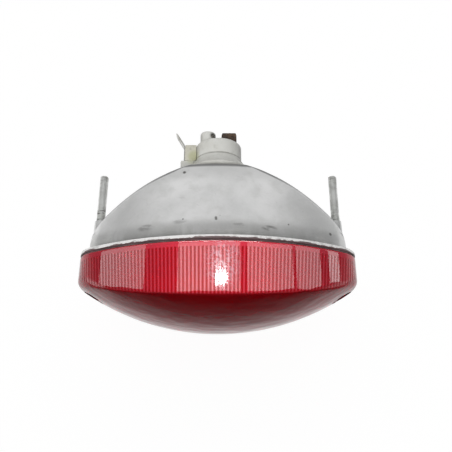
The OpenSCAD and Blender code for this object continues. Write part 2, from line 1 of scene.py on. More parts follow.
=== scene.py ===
"""Motorcycle tail light: the finished look of every piece, built round the lamp's CAD frame."""

import math

import bmesh
import bpy
from mathutils import Matrix, Vector, noise


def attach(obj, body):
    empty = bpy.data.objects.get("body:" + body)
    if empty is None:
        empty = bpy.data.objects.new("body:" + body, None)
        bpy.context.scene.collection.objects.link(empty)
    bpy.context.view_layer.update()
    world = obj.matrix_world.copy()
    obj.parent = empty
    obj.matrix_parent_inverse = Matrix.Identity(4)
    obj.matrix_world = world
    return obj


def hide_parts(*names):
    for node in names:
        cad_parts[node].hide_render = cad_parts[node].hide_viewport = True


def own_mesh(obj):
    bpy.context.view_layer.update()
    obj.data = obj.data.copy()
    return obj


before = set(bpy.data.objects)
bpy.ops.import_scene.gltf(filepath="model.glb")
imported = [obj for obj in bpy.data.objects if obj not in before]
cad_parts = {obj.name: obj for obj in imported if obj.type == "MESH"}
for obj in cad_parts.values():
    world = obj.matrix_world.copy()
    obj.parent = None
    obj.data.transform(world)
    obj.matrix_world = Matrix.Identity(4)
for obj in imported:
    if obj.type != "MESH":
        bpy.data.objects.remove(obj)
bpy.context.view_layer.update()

# The studio: a pale floor under the lamp, a bright room whose ceiling is dim, soft panels overhead
# and one small spot. The camera looks down on the lamp with its red lens towards the bottom.
scene = bpy.context.scene
scene.view_settings.view_transform = "Standard"


def hung(name, data, place=(0, 0, 0), turn=(0, 0, 0)):
    """Puts a new object in the scene, turned by degrees about X, Y and Z."""
    made = bpy.data.objects.new(name, data)
    made.location = place
    made.rotation_euler = [math.radians(angle) for angle in turn]
    scene.collection.objects.link(made)
    return made


camera_data = bpy.data.cameras.new("camera")
camera_data.sensor_width = 36
camera_data.lens = 42.77
camera_data.clip_start = 0.01
camera = hung("camera", camera_data, (0.004745, -0.118266, 0.301225), (21, 0, 0))
scene.camera = camera


def feed(socket, value):
    """Links a value that varies to a node's input, or sets a plain one on it."""
    value = getattr(value, "socket", value)
    if isinstance(value, bpy.types.NodeSocket):
        socket.id_data.links.new(value, socket)
    elif socket.type == "RGBA":
        socket.default_value = (*value, 1)
    else:
        socket.default_value = value


def add_node(tree, kind, inputs=None, **settings):
    """Puts a node in a tree, with its inputs fed."""
    made = tree.nodes.new(kind)
    for name, value in settings.items():
        setattr(made, name, value)
    for name, value in (inputs or {}).items():
        feed(made.inputs[name], value)
    return made


class Value:
    """A number, place or colour that varies. Arithmetic with it puts nodes in its tree."""

    def __init__(self, socket):
        self.socket = socket

    def node(self, kind, inputs, output=0, **settings):
        return Value(add_node(self.socket.id_data, kind, inputs, **settings).outputs[output])

    def math(self, how, first, second=0.0):
        return self.node("ShaderNodeMath", {0: first, 1: second}, operation=how)

    def __add__(self, other):
        return self.math("ADD", self, other)

    def __sub__(self, other):
        return self.math("SUBTRACT", self, other)

    def __mul__(self, other):
        return self.math("MULTIPLY", self, other)

    def __abs__(self):
        return self.math("ABSOLUTE", self)

    def at_least(self, other):
        return self.math("MAXIMUM", self, other)

    def at_most(self, other):
        return self.math("MINIMUM", self, other)

    def is_below(self, other):
        return self.math("LESS_THAN", self, other)

    def ranged(self, low, high, to_low, to_high, how="SMOOTHSTEP"):
        """Carried from one range to another."""
        ends = {"From Min": low, "From Max": high, "To Min": to_low, "To Max": to_high}
        return self.node("ShaderNodeMapRange", {"Value": self, **ends}, interpolation_type=how)

    def vector(self, how, other=(0, 0, 0), output=0):
        return self.node("ShaderNodeVectorMath", {0: self, 1: other}, output, operation=how)

    def parts(self):
        """Its x, y and z."""
        return [Value(part) for part in add_node(self.socket.id_data, "ShaderNodeSeparateXYZ", {0: self}).outputs]


def first_value(tree, kind, output):
    return Value(add_node(tree, kind).outputs[output])


world = bpy.data.worlds.new("surroundings")
scene.world = world
world.use_nodes = True
sky = world.node_tree
sky.nodes.clear()
sky_way = first_value(sky, "ShaderNodeTexCoord", "Generated")
sky_x, sky_y, sky_z = sky_way.parts()
ceiling = sky_z.ranged(0.45, 0.88, 0.98, 0.3)
sides = abs(sky_x).ranged(0.3, 0.84, 1, 0.25) + sky_x.ranged(-0.93, -0.99, 0, 1.5)
sides = sides + sky_x.ranged(0.92, 0.99, 0, 0.9)
in_front = sky_y.ranged(-0.8, -0.25, 0.05, 1)
seen_white = first_value(sky, "ShaderNodeLightPath", "Is Camera Ray").at_least(ceiling * sides * in_front)

FLOOR_HALF, FLOOR_Z = 3, -0.0385
floor_mesh = bpy.data.meshes.new("floor")
floor_corners = [(x * FLOOR_HALF, y * FLOOR_HALF, FLOOR_Z) for x, y in ((-1, -1), (1, -1), (1, 1), (-1, 1))]
floor_mesh.from_pydata(floor_corners, [], [(0, 1, 2, 3)])
floor = hung("floor", floor_mesh)
floor_look = bpy.data.materials.new("pale_floor")
floor_look.use_nodes = True
paper = floor_look.node_tree
paper.nodes.clear()
seen = first_value(paper, "ShaderNodeLightPath", "Is Camera Ray")
mirrored = first_value(paper, "ShaderNodeLightPath", "Is Glossy Ray")
# the floor falls into shade towards the front, as the lens's crown mirrors it
paper_y = first_value(paper, "ShaderNodeTexCoord", "Object").parts()[1].at_most(-0.09)
shade = paper_y.math("DIVIDE", 0.0085, paper_y * paper_y).at_least(seen).at_most(1)
paper_matte = add_node(paper, "ShaderNodeBsdfDiffuse", {"Color": shade * 0.8})
paper_white = add_node(paper, "ShaderNodeEmission", {"Color": shade, "Strength": 1.13})
paper_mix = add_node(paper, "ShaderNodeMixShader", {
    0: (seen * 0.85).at_least(mirrored * 0.75), 1: paper_matte.outputs[0], 2: paper_white.outputs[0]})
add_node(paper, "ShaderNodeOutputMaterial", {"Surface": paper_mix.outputs[0]})
floor_mesh.materials.append(floor_look)


panel_lit = bpy.data.collections.new("lit_by_panels")


def soft_lamp(name, place, size, glow, shape="RECTANGLE", turn=(0, 0, 0), receivers=panel_lit):
    """A soft lamp panel that shines down, on the lens alone unless other receivers are given."""
    lamp = bpy.data.lights.new(name, "AREA")
    lamp.shape = shape
    lamp.size, lamp.size_y = size
    lamp.energy = glow * math.pi * size[0] * size[1]
    hung(name, lamp, place, turn).light_linking.receiver_collection = receivers


END_X, END_R, SIDE_Z = 0.060, 0.020, 0.091
SIDE_R = math.hypot(END_X, SIDE_Z) + END_R
PICTURE_MIDDLE, PICTURE_SCALE = 226, 537


def mirror_way(px, py):
    """Where the lens's upper wall lies at a place of the picture, and which way it mirrors the camera."""
    eye = camera.location.copy()
    across, up = (px - PICTURE_MIDDLE) / PICTURE_SCALE, (PICTURE_MIDDLE - py) / PICTURE_SCALE
    ray = camera.rotation_euler.to_matrix() @ Vector((across, up, -1))
    # the ray meets the wall, which is part of a cylinder along Y
    a = ray.x ** 2 + ray.z ** 2
    b = 2 * (eye.x * ray.x + (eye.z + SIDE_Z) * ray.z)
    c = eye.x ** 2 + (eye.z + SIDE_Z) ** 2 - SIDE_R ** 2
    hit = eye + (-b - math.sqrt(b * b - 4 * a * c)) / (2 * a) * ray
    out = Vector((hit.x, 0, hit.z + SIDE_Z)).normalized()
    return hit, ray - 2 * ray.dot(out) * out


def mirrored_panel(name, columns, rows, glow, height=0.9, shape="RECTANGLE"):
    """A panel that the lens's wall mirrors between these columns and rows of the picture."""
    corners = []
    for px in columns:
        for py in rows:
            hit, away = mirror_way(px, py)
            corners.append(hit + away * ((height - hit.z) / away.z))
    low = [min(p[k] for p in corners) for k in (0, 1)]
    high = [max(p[k] for p in corners) for k in (0, 1)]
    place = ((low[0] + high[0]) / 2, (low[1] + high[1]) / 2, height)
    soft_lamp(name, place, (high[0] - low[0], high[1] - low[1]), glow, shape)


for count, (first, last, glow) in enumerate([
        (102.5, 142.5, 2.3), (178.5, 240, 2.6), (248, 292, 2.4), (298, 319, 2.3), (331.5, 337, 3.2)]):
    mirrored_panel(f"panel_{count}", (first, last), (239, 300), glow)
SPOT_HEIGHT = 0.88
mirrored_panel("small_spot", (215, 227.8), (270, 284), 55, SPOT_HEIGHT, "ELLIPSE")
mirrored_panel("small_spot_low", (214.5, 218.5), (282, 286), 18, SPOT_HEIGHT, "ELLIPSE")

# a soft glow round the small spot
glow_way = mirror_way(221, 268)[1].normalized()
glow_gap = sky_way.vector("SUBTRACT", glow_way).vector("MULTIPLY", (6, 20, 0))
glow = glow_gap.vector("LENGTH", output="Value").ranged(0.2, 1.2, 1.6, 0)
sky_light = add_node(sky, "ShaderNodeBackground", {"Color": (1, 1, 1), "Strength": seen_white + glow})
add_node(sky, "ShaderNodeOutputWorld", {"Surface": sky_light.outputs[0]})

# a broad lamp over the front that lights every piece but the lens and leaves the floor alone
fill_shaded = bpy.data.collections.new("shaded_from_fill")
fill_shaded.objects.link(floor)
soft_lamp("fill", (-0.2, -0.5, 0.8), (0.6, 0.4), 9.5, turn=(32, -14, 0), receivers=fill_shaded)

# a lamp behind that only the lens takes, where its wall doesn't mirror it
soft_lamp("back_lamp", (0, 0.75, 0.75), (0.8, 0.3), 18, turn=(-45, 0, 0))


# Housing: a die-cast bowl in worn, silvery aluminium. An oval wall leans in from a thin flange
# and rounds over into a deep curve that ends in a flat seat for the bulb holder. Two slim bosses
# take the long screws, which clamp it against the bracket. Inside it is painted bright silver.
MEET = math.atan2(SIDE_Z, END_X)
SCREW_X, SCREW_HOLE_R = 0.07075, 0.00265
FLANGE_Y, FLANGE_T = -0.0238, 0.0023
BAND_Y, WALL_LEAN = -0.014, 0.26
WALL_IN, WALL_T = 0.0047, 0.0022
SEAT_Y, SEAT_T = 0.0275, 0.0025
FOCAL, BOWL_TIP = 0.0332, 0.0329


def outline(count):
    """Points spaced evenly round the lamp's outline, with their outward directions, in x and z."""
    arcs = [
        (END_X, 0, END_R, -MEET, MEET),
        (0, -SIDE_Z, SIDE_R, MEET, math.pi - MEET),
        (-END_X, 0, END_R, math.pi - MEET, math.pi + MEET),
        (0, SIDE_Z, SIDE_R, math.pi + MEET, 2 * math.pi - MEET),
    ]
    whole = sum(r * (b - a) for _, _, r, a, b in arcs)
    found = []
    for i in range(count):
        left = whole * i / count
        for x, z, r, a, b in arcs:
            if left < r * (b - a):
                angle = a + left / r
                out = (math.cos(angle), math.sin(angle))
                found.append(((x + r * out[0], z + r * out[1]), out))
                break
            left -= r * (b - a)
    return found


def placer(point, out):
    """Gives a place by how far inside a point of the outline it is, and at which y."""
    return lambda s, y: (point[0] - s * out[0], y, point[1] - s * out[1])


def loft(name, rings, looped=False, start=None, end=None):
    """A skin over rings of points. It closes on itself, or with a middle point at each end."""
    rings = [list(ring) for ring in rings]
    count, rows = len(rings[0]), len(rings)
    points = [p for ring in rings for p in ring]
    faces = []
    for row in range(rows if looped else rows - 1):
        a, b = row * count, (row + 1) % rows * count
        faces += [(a + i, a + (i + 1) % count, b + (i + 1) % count, b + i) for i in range(count)]
    for point, row in ((start, 0), (end, rows - 1)):
        if point is not None:
            points.append(point)
            base, way = row * count, 1 if row else -1
            faces += [(base + i, base + (i + 1) % count, len(points) - 1)[::way] for i in range(count)]
    mesh = bpy.data.meshes.new(name)
    mesh.from_pydata(points, [], faces)
    # all the faces look outwards
    shape = bmesh.new()
    shape.from_mesh(mesh)
    bmesh.ops.recalc_face_normals(shape, faces=shape.faces)
    if shape.calc_volume(signed=True) < 0:
        bmesh.ops.reverse_faces(shape, faces=shape.faces)
    shape.to_mesh(mesh)
    shape.free()
    return hung(name, mesh)


def turned(name, profile, centre=(0, 0), steps=96):
    """A closed shape spun about an axis along Y: (radius, y) pairs, round a place in x and z."""
    rings, tips = [], [None, None]
    angles = [math.tau * i / steps for i in range(steps)]
    for k, (radius, y) in enumerate(profile):
        if radius < 1e-7:
            tips[1 if k else 0] = (centre[0], y, centre[1])
            continue
        rings.append([(centre[0] + radius * math.cos(a), y, centre[1] + radius * math.sin(a)) for a in angles])
    return loft(name, rings, looped=tips == [None, None], start=tips[0], end=tips[1])


def pin(name, radius, low_y, high_y, centre=(0, 0), steps=48):
    """A plain round bar along Y, mostly to cut a hole with."""
    return turned(name, [(0, low_y), (radius, low_y), (radius, high_y), (0, high_y)], centre, steps)


def take_mesh(piece):
    """Gives a piece the plain mesh that its modifiers make."""
    whole = bpy.data.meshes.new_from_object(piece.evaluated_get(bpy.context.evaluated_depsgraph_get()))
    piece.modifiers.clear()
    old = piece.data
    piece.data = whole
    bpy.data.meshes.remove(old)
    whole.name = piece.name


def joined(base, *others):
    """Cuts or adds other shapes: pairs of what to do and the shape. Leaves one plain mesh."""
    for what, other in others:
        step = base.modifiers.new(what, "BOOLEAN")
        step.operation = what
        step.object = other
        step.solver = "MANIFOLD"
    take_mesh(base)
    for _, other in others:
        bpy.data.objects.remove(other)
    return base


def fillet(corner, before, after, steps):
    """Points that round a corner, from one point before it to one after it."""
    shares = [k / steps for k in range(steps + 1)]
    return [tuple((1 - t) ** 2 * a + 2 * t * (1 - t) * c + t * t * b for a, c, b in zip(before, corner, after))
            for t in shares]


def bowl_y(x, z, tip):
    return tip - (x * x + z * z) / (4 * FOCAL)


WALL_BACK, OVER_LENGTH, OVER_MOST, SEAT_STEP = 0.0032, 0.0045, 0.35, 0.0008
BAND_HALF, CLEAR_OF_BAND, BOWL_ROWS_END, HALVINGS = 0.0038, 0.0041, 0.97, 40


def bowl_side(at, wall_in, tip, flat_y, rows):
    """Points up the leaning wall, over into the bowl's curve and on to the edge of the flat seat."""
    low, high = wall_in, wall_in + (flat_y - BAND_Y) * WALL_LEAN
    flat_edge = Vector(at(high, flat_y))
    reach = math.hypot(flat_edge.x, flat_edge.z)
    flat_r = math.sqrt((tip - flat_y) * 4 * FOCAL)
    if reach < flat_r:
        # the wall itself runs up to the seat
        turn_s = high - SEAT_STEP * WALL_LEAN
        rim = flat_edge
    else:
        for _ in range(HALVINGS):
            turn_s = (low + high) / 2
            x, _, z = at(turn_s, 0)
            if BAND_Y + (turn_s - wall_in) / WALL_LEAN < bowl_y(x, z, tip):
                low = turn_s
            else:
                high = turn_s
        turn_s = min(turn_s, wall_in + (flat_y - SEAT_STEP - BAND_Y) * WALL_LEAN)
        rim = Vector((flat_edge.x * flat_r / reach, flat_y, flat_edge.z * flat_r / reach))
    turn_y = BAND_Y + (turn_s - wall_in) / WALL_LEAN
    corner = Vector(at(turn_s, turn_y))
    over = min(OVER_LENGTH / (rim - corner).length, OVER_MOST)

    def along(share):
        spot = corner.lerp(rim, share)
        if reach >= flat_r:
            spot.y = min(flat_y, bowl_y(spot.x, spot.z, tip))
        return tuple(spot)

    back = min(WALL_BACK, (rim - corner).length * 0.5, max(0.0, turn_y - BAND_Y - CLEAR_OF_BAND) + 0.0001)
    wall_top = at(turn_s - back * WALL_LEAN, turn_y - back)
    halfway = at(wall_in + (turn_y - back - BAND_Y) / 2 * WALL_LEAN, (turn_y - back + BAND_Y) / 2)
    found = [at(wall_in + BAND_HALF * WALL_LEAN, BAND_Y + BAND_HALF), halfway]
    found += fillet(tuple(corner), wall_top, along(over), 7)
    found += [along(over + (BOWL_ROWS_END - over) * k / rows) for k in range(1, rows + 1)]
    return found, rim


HOLE_R, INNER_SEAT_Y, INNER_TIP = 0.0127, SEAT_Y - SEAT_T, BOWL_TIP - WALL_T
FLANGE_BACK_Y, INNER_IN, BAND_ROUND, FLAT_R = FLANGE_Y + FLANGE_T, WALL_IN + WALL_T, 0.0034, 0.0165
housing_columns = []
for point, out in outline(480):
    at = placer(point, out)
    column = fillet(at(0, FLANGE_Y), at(0.0003, FLANGE_Y), at(0, FLANGE_Y + 0.0003), 2)
    column += [at(0, FLANGE_Y + 0.0006), at(0, FLANGE_Y + 0.0011)]
    column += fillet(at(0, FLANGE_BACK_Y), at(0, FLANGE_BACK_Y - 0.0009), at(0.0010, FLANGE_BACK_Y), 5)
    column += [at(0.0014, FLANGE_BACK_Y), at(WALL_IN - 0.0016, FLANGE_BACK_Y)]
    column += fillet(
        at(WALL_IN, FLANGE_BACK_Y), at(WALL_IN - 0.0012, FLANGE_BACK_Y), at(WALL_IN, FLANGE_BACK_Y + 0.0012), 4)
    column += [at(WALL_IN, FLANGE_BACK_Y + 0.0016), at(WALL_IN, BAND_Y - BAND_HALF)]
    column += fillet(
        at(WALL_IN, BAND_Y), at(WALL_IN, BAND_Y - BAND_ROUND),
        at(WALL_IN + BAND_ROUND * WALL_LEAN, BAND_Y + BAND_ROUND), 8)
    rising, rim = bowl_side(at, WALL_IN, BOWL_TIP, SEAT_Y, 18)
    inwards = -rim / math.hypot(rim.x, rim.z)
    inwards.y = 0
    before, after = Vector(rising[-1]), rim + inwards * 0.0006
    column += rising + fillet(tuple(rim), tuple(before.lerp(rim, 0.3)), tuple(after), 4)
    column += [(-inwards.x * radius, y, -inwards.z * radius) for radius, y in (
        (FLAT_R, SEAT_Y), (HOLE_R + 0.0004, SEAT_Y), (HOLE_R, SEAT_Y - 0.0004),
        (HOLE_R, INNER_SEAT_Y + 0.0003), (HOLE_R + 0.0003, INNER_SEAT_Y), (FLAT_R, INNER_SEAT_Y))]
    # back out along the inner faces
    falling, inner_rim = bowl_side(at, INNER_IN, INNER_TIP, INNER_SEAT_Y, 16)
    column += [tuple(inner_rim)] + falling[::-1] + [at(INNER_IN, BAND_Y), at(INNER_IN, FLANGE_Y)]
    housing_columns.append(column)

housing_shell = loft("housing_shell", zip(*housing_columns), looped=True)
for side in (-1, 1):
    centre = (side * SCREW_X, 0)
    boss = turned("boss", [
        (0, FLANGE_Y + 0.0002), (0.004, FLANGE_Y + 0.0002), (0.0033, -0.0003), (0.00322, -0.0001),
        (0.0030, 0.0), (0, 0.0)], centre, 64)
    bore = turned("bore", [
        (0, -0.028), (SCREW_HOLE_R, -0.028), (SCREW_HOLE_R, -0.0002), (0.0028, 0.0005), (0, 0.0005)], centre, 64)
    joined(housing_shell, ("UNION", boss), ("DIFFERENCE", bore))


def wedge(name, middle, half, inner, outer, low_y, high_y):
    """A slice of a ring about the lamp's axis, round a direction in degrees."""
    angles = [math.radians(middle + half * (k / 6 - 1)) for k in range(13)]
    ring = [(inner * math.cos(a), inner * math.sin(a)) for a in reversed(angles)]
    ring += [(outer * math.cos(a), outer * math.sin(a)) for a in angles]
    hub = [(inner + outer) / 2 * f(math.radians(middle)) for f in (math.cos, math.sin)]
    return loft(name, [[(x, y, z) for x, z in ring] for y in (low_y, high_y)],
                start=(hub[0], low_y, hub[1]), end=(hub[0], high_y, hub[1]))


# notches that let the holder's two lugs through the seat
for turn in (-45, 135):
    notch = wedge("notch", turn, 18, 0.009, 0.01535, INNER_SEAT_Y - 0.001, SEAT_Y + 0.001)
    joined(housing_shell, ("DIFFERENCE", notch))


def new_group(name, inputs, output):
    """An empty shader group with named inputs, numbers unless they are vectors, and one number out."""
    group = bpy.data.node_groups.new(name, "ShaderNodeTree")
    for socket, start in inputs.items():
        kind = "NodeSocketVector" if start is None else "NodeSocketFloat"
        made = group.interface.new_socket(socket, in_out="INPUT", socket_type=kind)
        if start is not None:
            made.default_value = start
    group.interface.new_socket(output, in_out="OUTPUT", socket_type="NodeSocketFloat")
    given = [Value(socket) for socket in group.nodes.new("NodeGroupInput").outputs[:len(inputs)]]
    return group, given, group.nodes.new("NodeGroupOutput").inputs[0]


# Stains: cloudy patches, where Low and High say how much of the surface they take
stains, given, result = new_group("stains", {"Vector": None, "Scale": 60.0, "Low": 0.45, "High": 0.7}, "Mask")
place, scale, low, high = given
cloud = place.node("ShaderNodeTexNoise", {
    "Vector": place, "Scale": scale, "Detail": 6, "Roughness": 0.62, "Distortion": 0.4}, "Fac")
feed(result, cloud.ranged(low, high, 0, 1))

# Scratches: thin broken lines that run mostly one way
scratches, given, result = new_group(
    "scratches", {"Vector": None, "Scale": 90.0, "Stretch": 14.0, "Share": 0.06}, "Mask")
place, scale, stretch, share = given
drawn = place.vector("MULTIPLY", place.node("ShaderNodeCombineXYZ", {"X": 1, "Y": stretch, "Z": 3}))
lines = place.node("ShaderNodeTexNoise", {"Vector": drawn, "Scale": scale, "Detail": 2}, "Fac")
lines = abs(lines - 0.5).ranged(0, 0.012, 1, 0, "LINEAR")
broken = place.node("ShaderNodeTexNoise", {"Vector": place, "Scale": 140, "Detail": 3}, "Fac")
broken = broken.ranged(share.math("SUBTRACT", 0.66, share), 0.72, 0, 1, "LINEAR")
feed(result, lines * broken)


class Look:
    """A material with one shader, whose patterns follow the place on the piece."""

    def __init__(self, name):
        self.material = bpy.data.materials.new(name)
        self.material.use_nodes = True
        self.tree = self.material.node_tree
        self.tree.nodes.clear()
        self.shader = add_node(self.tree, "ShaderNodeBsdfPrincipled")
        add_node(self.tree, "ShaderNodeOutputMaterial", {"Surface": self.shader.outputs[0]})
        self.place = first_value(self.tree, "ShaderNodeTexCoord", "Object")
        self.x, self.y, self.z = self.place.parts()

    def group(self, group, **inputs):
        made = self.tree.nodes.new("ShaderNodeGroup")
        made.node_tree = group
        for name, value in inputs.items():
            feed(made.inputs[name], value)
        return Value(made.outputs[0])

    def stained(self, scale, low, high, place=None):
        return self.group(stains, Vector=place or self.place, Scale=scale, Low=low, High=high)

    def scratched(self, scale, stretch, share):
        return self.group(scratches, Vector=self.place, Scale=scale, Stretch=stretch, Share=share)

    def noise(self, scale, detail=2, place=None):
        inputs = {"Vector": place or self.place, "Scale": scale, "Detail": detail}
        return self.place.node("ShaderNodeTexNoise", inputs, "Fac")

    def stretched(self, *ways):
        return self.place.vector("MULTIPLY", ways)

    def near(self, spot, size, place=None):
        """A soft round mask at a spot of the piece."""
        gap = (place or self.place).vector("DISTANCE", spot, "Value")
        return gap.ranged(size * 0.4, size, 1, 0)

    def blended(self, base, *coats):
        """A colour under coats of others: pairs of how much of a coat shows and its colour."""
        for share, colour in coats:
            mix = add_node(self.tree, "ShaderNodeMix", {0: share}, data_type="RGBA")
            feed(mix.inputs[6], base)
            feed(mix.inputs[7], colour)
            base = Value(mix.outputs[2])
        return base

    def finish(self, height, strength, distance, **inputs):
        """Sets the shader's inputs by their names, with a bump of this height."""
        bump = add_node(self.tree, "ShaderNodeBump", {"Height": height, "Strength": strength, "Distance": distance})
        feed(self.shader.inputs["Normal"], bump.outputs[0])
        for name, value in inputs.items():
            feed(self.shader.inputs[name.replace("_", " ")], value)


cast_metal = Look("worn_cast_aluminium")
broad = cast_metal.stained(22, 0.35, 0.7)
fine = cast_metal.stained(160, 0.4, 0.75)
specks = cast_metal.stained(420, 0.68, 0.76)
lined = cast_metal.scratched(70, 9, 0.04)
# old dirt in upright streaks low on the wall above the flange, laid over a painted shade band there
streaks = cast_metal.stained(75, 0.25, 0.62, cast_metal.stretched(1, 0.3, 1))
low_wall_dirt_shade = cast_metal.y.ranged(FLANGE_Y + 0.002, FLANGE_Y + 0.016, 1, 0) * cast_metal.x.ranged(0.02, 0.06, 1, 0.6)
colour = cast_metal.blended(
    (0.83, 0.83, 0.828),
    (broad, (0.69, 0.695, 0.692)),
    (fine * 0.5, (0.68, 0.685, 0.67)),
    # painted shade: the bowl darkens towards the seat, where it turns away
    (cast_metal.y.ranged(0.013, 0.024, 0, 0.45), (0.50, 0.50, 0.495)),
    (low_wall_dirt_shade * streaks * 0.62, (0.36, 0.36, 0.34)),
    (specks * 0.5, (0.20, 0.195, 0.19)),
    (lined * 0.5, (0.36, 0.355, 0.35)))
# small pits, and smudges rubbed along the wall
for spot, size, strong in (
        ((-0.0193, 0.0220, 0.0223), 0.0013, 0.9), ((-0.0007, -0.0100, 0.0322), 0.0010, 0.75),
        ((-0.0006, -0.0110, 0.0325), 0.0010, 0.75), ((0.0640, -0.0135, 0.0154), 0.0013, 0.8),
        ((0.0390, -0.0120, 0.0262), 0.0007, 0.8), ((-0.0186, -0.0105, 0.0310), 0.0007, 0.7)):
    colour = cast_metal.blended(colour, (cast_metal.near(spot, size) * strong, (0.10, 0.095, 0.09)))
RUB_STRETCH = 0.3
along = cast_metal.stretched(RUB_STRETCH, 1, 1)
for x, y, z, size, strong in (
        (0.0285, -0.0153, 0.0300, 0.0020, 0.7), (-0.0400, -0.0140, 0.0268, 0.0026, 0.5),
        (0.0120, -0.0140, 0.0327, 0.0014, 0.4), (-0.0200, -0.0120, 0.0310, 0.0018, 0.35)):
    smudge = cast_metal.near((x * RUB_STRETCH, y, z), size, along) * cast_metal.stained(520, 0.35, 0.6, along)
    colour = cast_metal.blended(colour, (smudge * strong, (0.16, 0.155, 0.15)))
# the flange's edge is rubbed to bright metal
edge = cast_metal.y.ranged(FLANGE_BACK_Y - 0.0001, FLANGE_BACK_Y + 0.0003, 1, 0)
edge = edge * cast_metal.stained(240, 0.5, 0.62).ranged(0, 1, 1.0, 0.6)
# painted shade: a dark line where the bowl's surface turns to face backwards, and one round the seat's rim
aside = abs(cast_metal.x)
facing = add_node(cast_metal.tree, "ShaderNodeNewGeometry").outputs
turning = Value(facing["Normal"]).parts()[1]
painted_dark_line = turning.ranged(0.30, 0.48, 0, 1) * turning.ranged(0.84, 0.92, 1, 0) * aside.ranged(0.028, 0.050, 0.9, 0.5)
from_axis = cast_metal.stretched(1, 0, 1).vector("LENGTH", output="Value")
seat_rim_shade = cast_metal.y.ranged(0.0252, 0.0266, 0, 0.85) * from_axis.ranged(0.0206, 0.0214, 0, 1)
seat_rim_shade = seat_rim_shade * turning.ranged(0.80, 0.95, 1, 0.3)
painted_dark_line = (painted_dark_line * cast_metal.y.ranged(-0.012, -0.006, 0, 1)).at_least(seat_rim_shade)
# the silver paint inside, on the faces that look towards the bulb
from_front = cast_metal.place.vector("ADD", (0, 0.055, 0))
inside = Value(facing["True Normal"]).vector("DOT_PRODUCT", from_front, "Value").is_below(0)
inside = inside * aside.is_below(0.064)
silver = cast_metal.blended((0.86, 0.86, 0.86), (broad, (0.78, 0.78, 0.77)))
# brown rubber has stuck to the flange's edge beside the gasket
stuck = cast_metal.y - cast_metal.stained(110, 0.3, 0.7).ranged(0, 1, 0, 0.0008)
stuck = stuck.ranged(FLANGE_Y + 0.0001, FLANGE_Y + 0.0004, 0.95, 0)
colour = cast_metal.blended(
    colour, (edge, (0.95, 0.94, 0.93)), (painted_dark_line, (0.12, 0.12, 0.118)), (inside, silver), (stuck, (0.10, 0.050, 0.052)))
height = cast_metal.noise(900, 3) * 0.25 + cast_metal.noise(55) * 1.2 - lined * 0.35 - specks * 0.5
bare = inside.ranged(0, 1, 0.82, 0.35) - painted_dark_line.at_least(stuck) * 0.7 - edge * 0.55
cast_metal.finish(height, 0.4, 0.0003, Base_Color=colour, Roughness=fine.ranged(0, 1, 0.34, 0.46), Metallic=bare)


def finished(piece, node, body, look, angle=35):
    """Smooths a piece, gives it its look and puts it in its CAD node's place."""
    piece.data.shade_smooth()
    piece.data.set_sharp_from_angle(angle=math.radians(angle))
    piece.data.materials.clear()
    piece.data.materials.append(look.material)
    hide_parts(node)
    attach(piece, body)


finished(housing_shell, "housing", "housing", cast_metal, 40)


# Lens gasket: a flat rubber ring squeezed between flange and lens, with an eyelet round each
# screw. Its outer edge has gone hard and bulges out unevenly.
LENS_RIM_Y = -0.025
GASKET_LOW, GASKET_HIGH = 0.00004, 0.00116
gasket_columns = []
for point, out in outline(720):
    at = placer(point, out)
    swell = (noise.noise(Vector((point[0], 0, point[1])) * 400) * 0.5
             + noise.noise(Vector((point[0], 3, point[1])) * 1100) * 0.5)
    swell = 0.00035 - 0.0005 * swell
    gasket_columns.append([at(s, LENS_RIM_Y + y) for s, y in (
        (0.0038, GASKET_LOW), (0.0038, GASKET_HIGH), (swell + 0.0005, GASKET_HIGH), (swell + 0.00012, 0.001),
        (swell, 0.0006), (swell + 0.00012, 0.0002), (swell + 0.0005, GASKET_LOW))])
gasket = loft("lens_gasket_ring", zip(*gasket_columns), looped=True)
for side in (-1, 1):
    centre = (side * SCREW_X, 0)
    eyelet = pin("eyelet", 0.0063, LENS_RIM_Y + GASKET_LOW, LENS_RIM_Y + GASKET_HIGH, centre, 64)
    joined(gasket, ("UNION", eyelet), ("DIFFERENCE", pin("hole", SCREW_HOLE_R, -0.03, -0.02, centre)))

rubber = Look("perished_rubber")
dust = rubber.stained(90, 0.42, 0.72)
cells = {"Vector": rubber.place, "Scale": 650}
cracks = rubber.place.node("ShaderNodeTexVoronoi", cells, "Distance", feature="DISTANCE_TO_EDGE").ranged(0, 0.06, 1, 0)
colour = rubber.blended((0.075, 0.045, 0.046), (dust * 0.55, (0.22, 0.14, 0.14)), (cracks * 0.6, (0.022, 0.016, 0.016)))
rubber.finish(dust - cracks, 0.5, 0.0002, Base_Color=colour, Roughness=dust.ranged(0, 1, 0.55, 0.85))
finished(gasket, "lens_gasket", "lens", rubber, 50)


# Lens: clear red plastic, moulded in one piece. Its upright wall is ribbed inside and turns
# with a small radius into the crowned front, where two deep recesses lead the long screws through.
CROWN_Y, LENS_T = -0.06648, 0.0028
CROWN_LONG, CROWN_CROSS = 0.138, 0.063
RIB_COUNT, RIB_POINTS, RIB_DEPTH = 182, 6, 0.0005
RIB_DRIFT, DRIFT_DEPTH = 0.055, 0.028
OUTLINE_LENGTH = 4 * (MEET * END_R + (math.pi / 2 - MEET) * SIDE_R)
QUARTER = RIB_COUNT * RIB_POINTS / 4
SIDE_HALF = 4 * QUARTER * (math.pi / 2 - MEET) * SIDE_R / OUTLINE_LENGTH
TOP_MIDDLE = 4 * QUARTER * 2 * MEET * END_R / OUTLINE_LENGTH + SIDE_HALF


def crown_y(x, z, inset=0.0):
    radius = CROWN_CROSS - CROWN_LONG + math.sqrt((CROWN_LONG - inset) ** 2 - x * x)
    return CROWN_Y + CROWN_CROSS - math.sqrt(max(radius * radius - z * z, 1e-9))


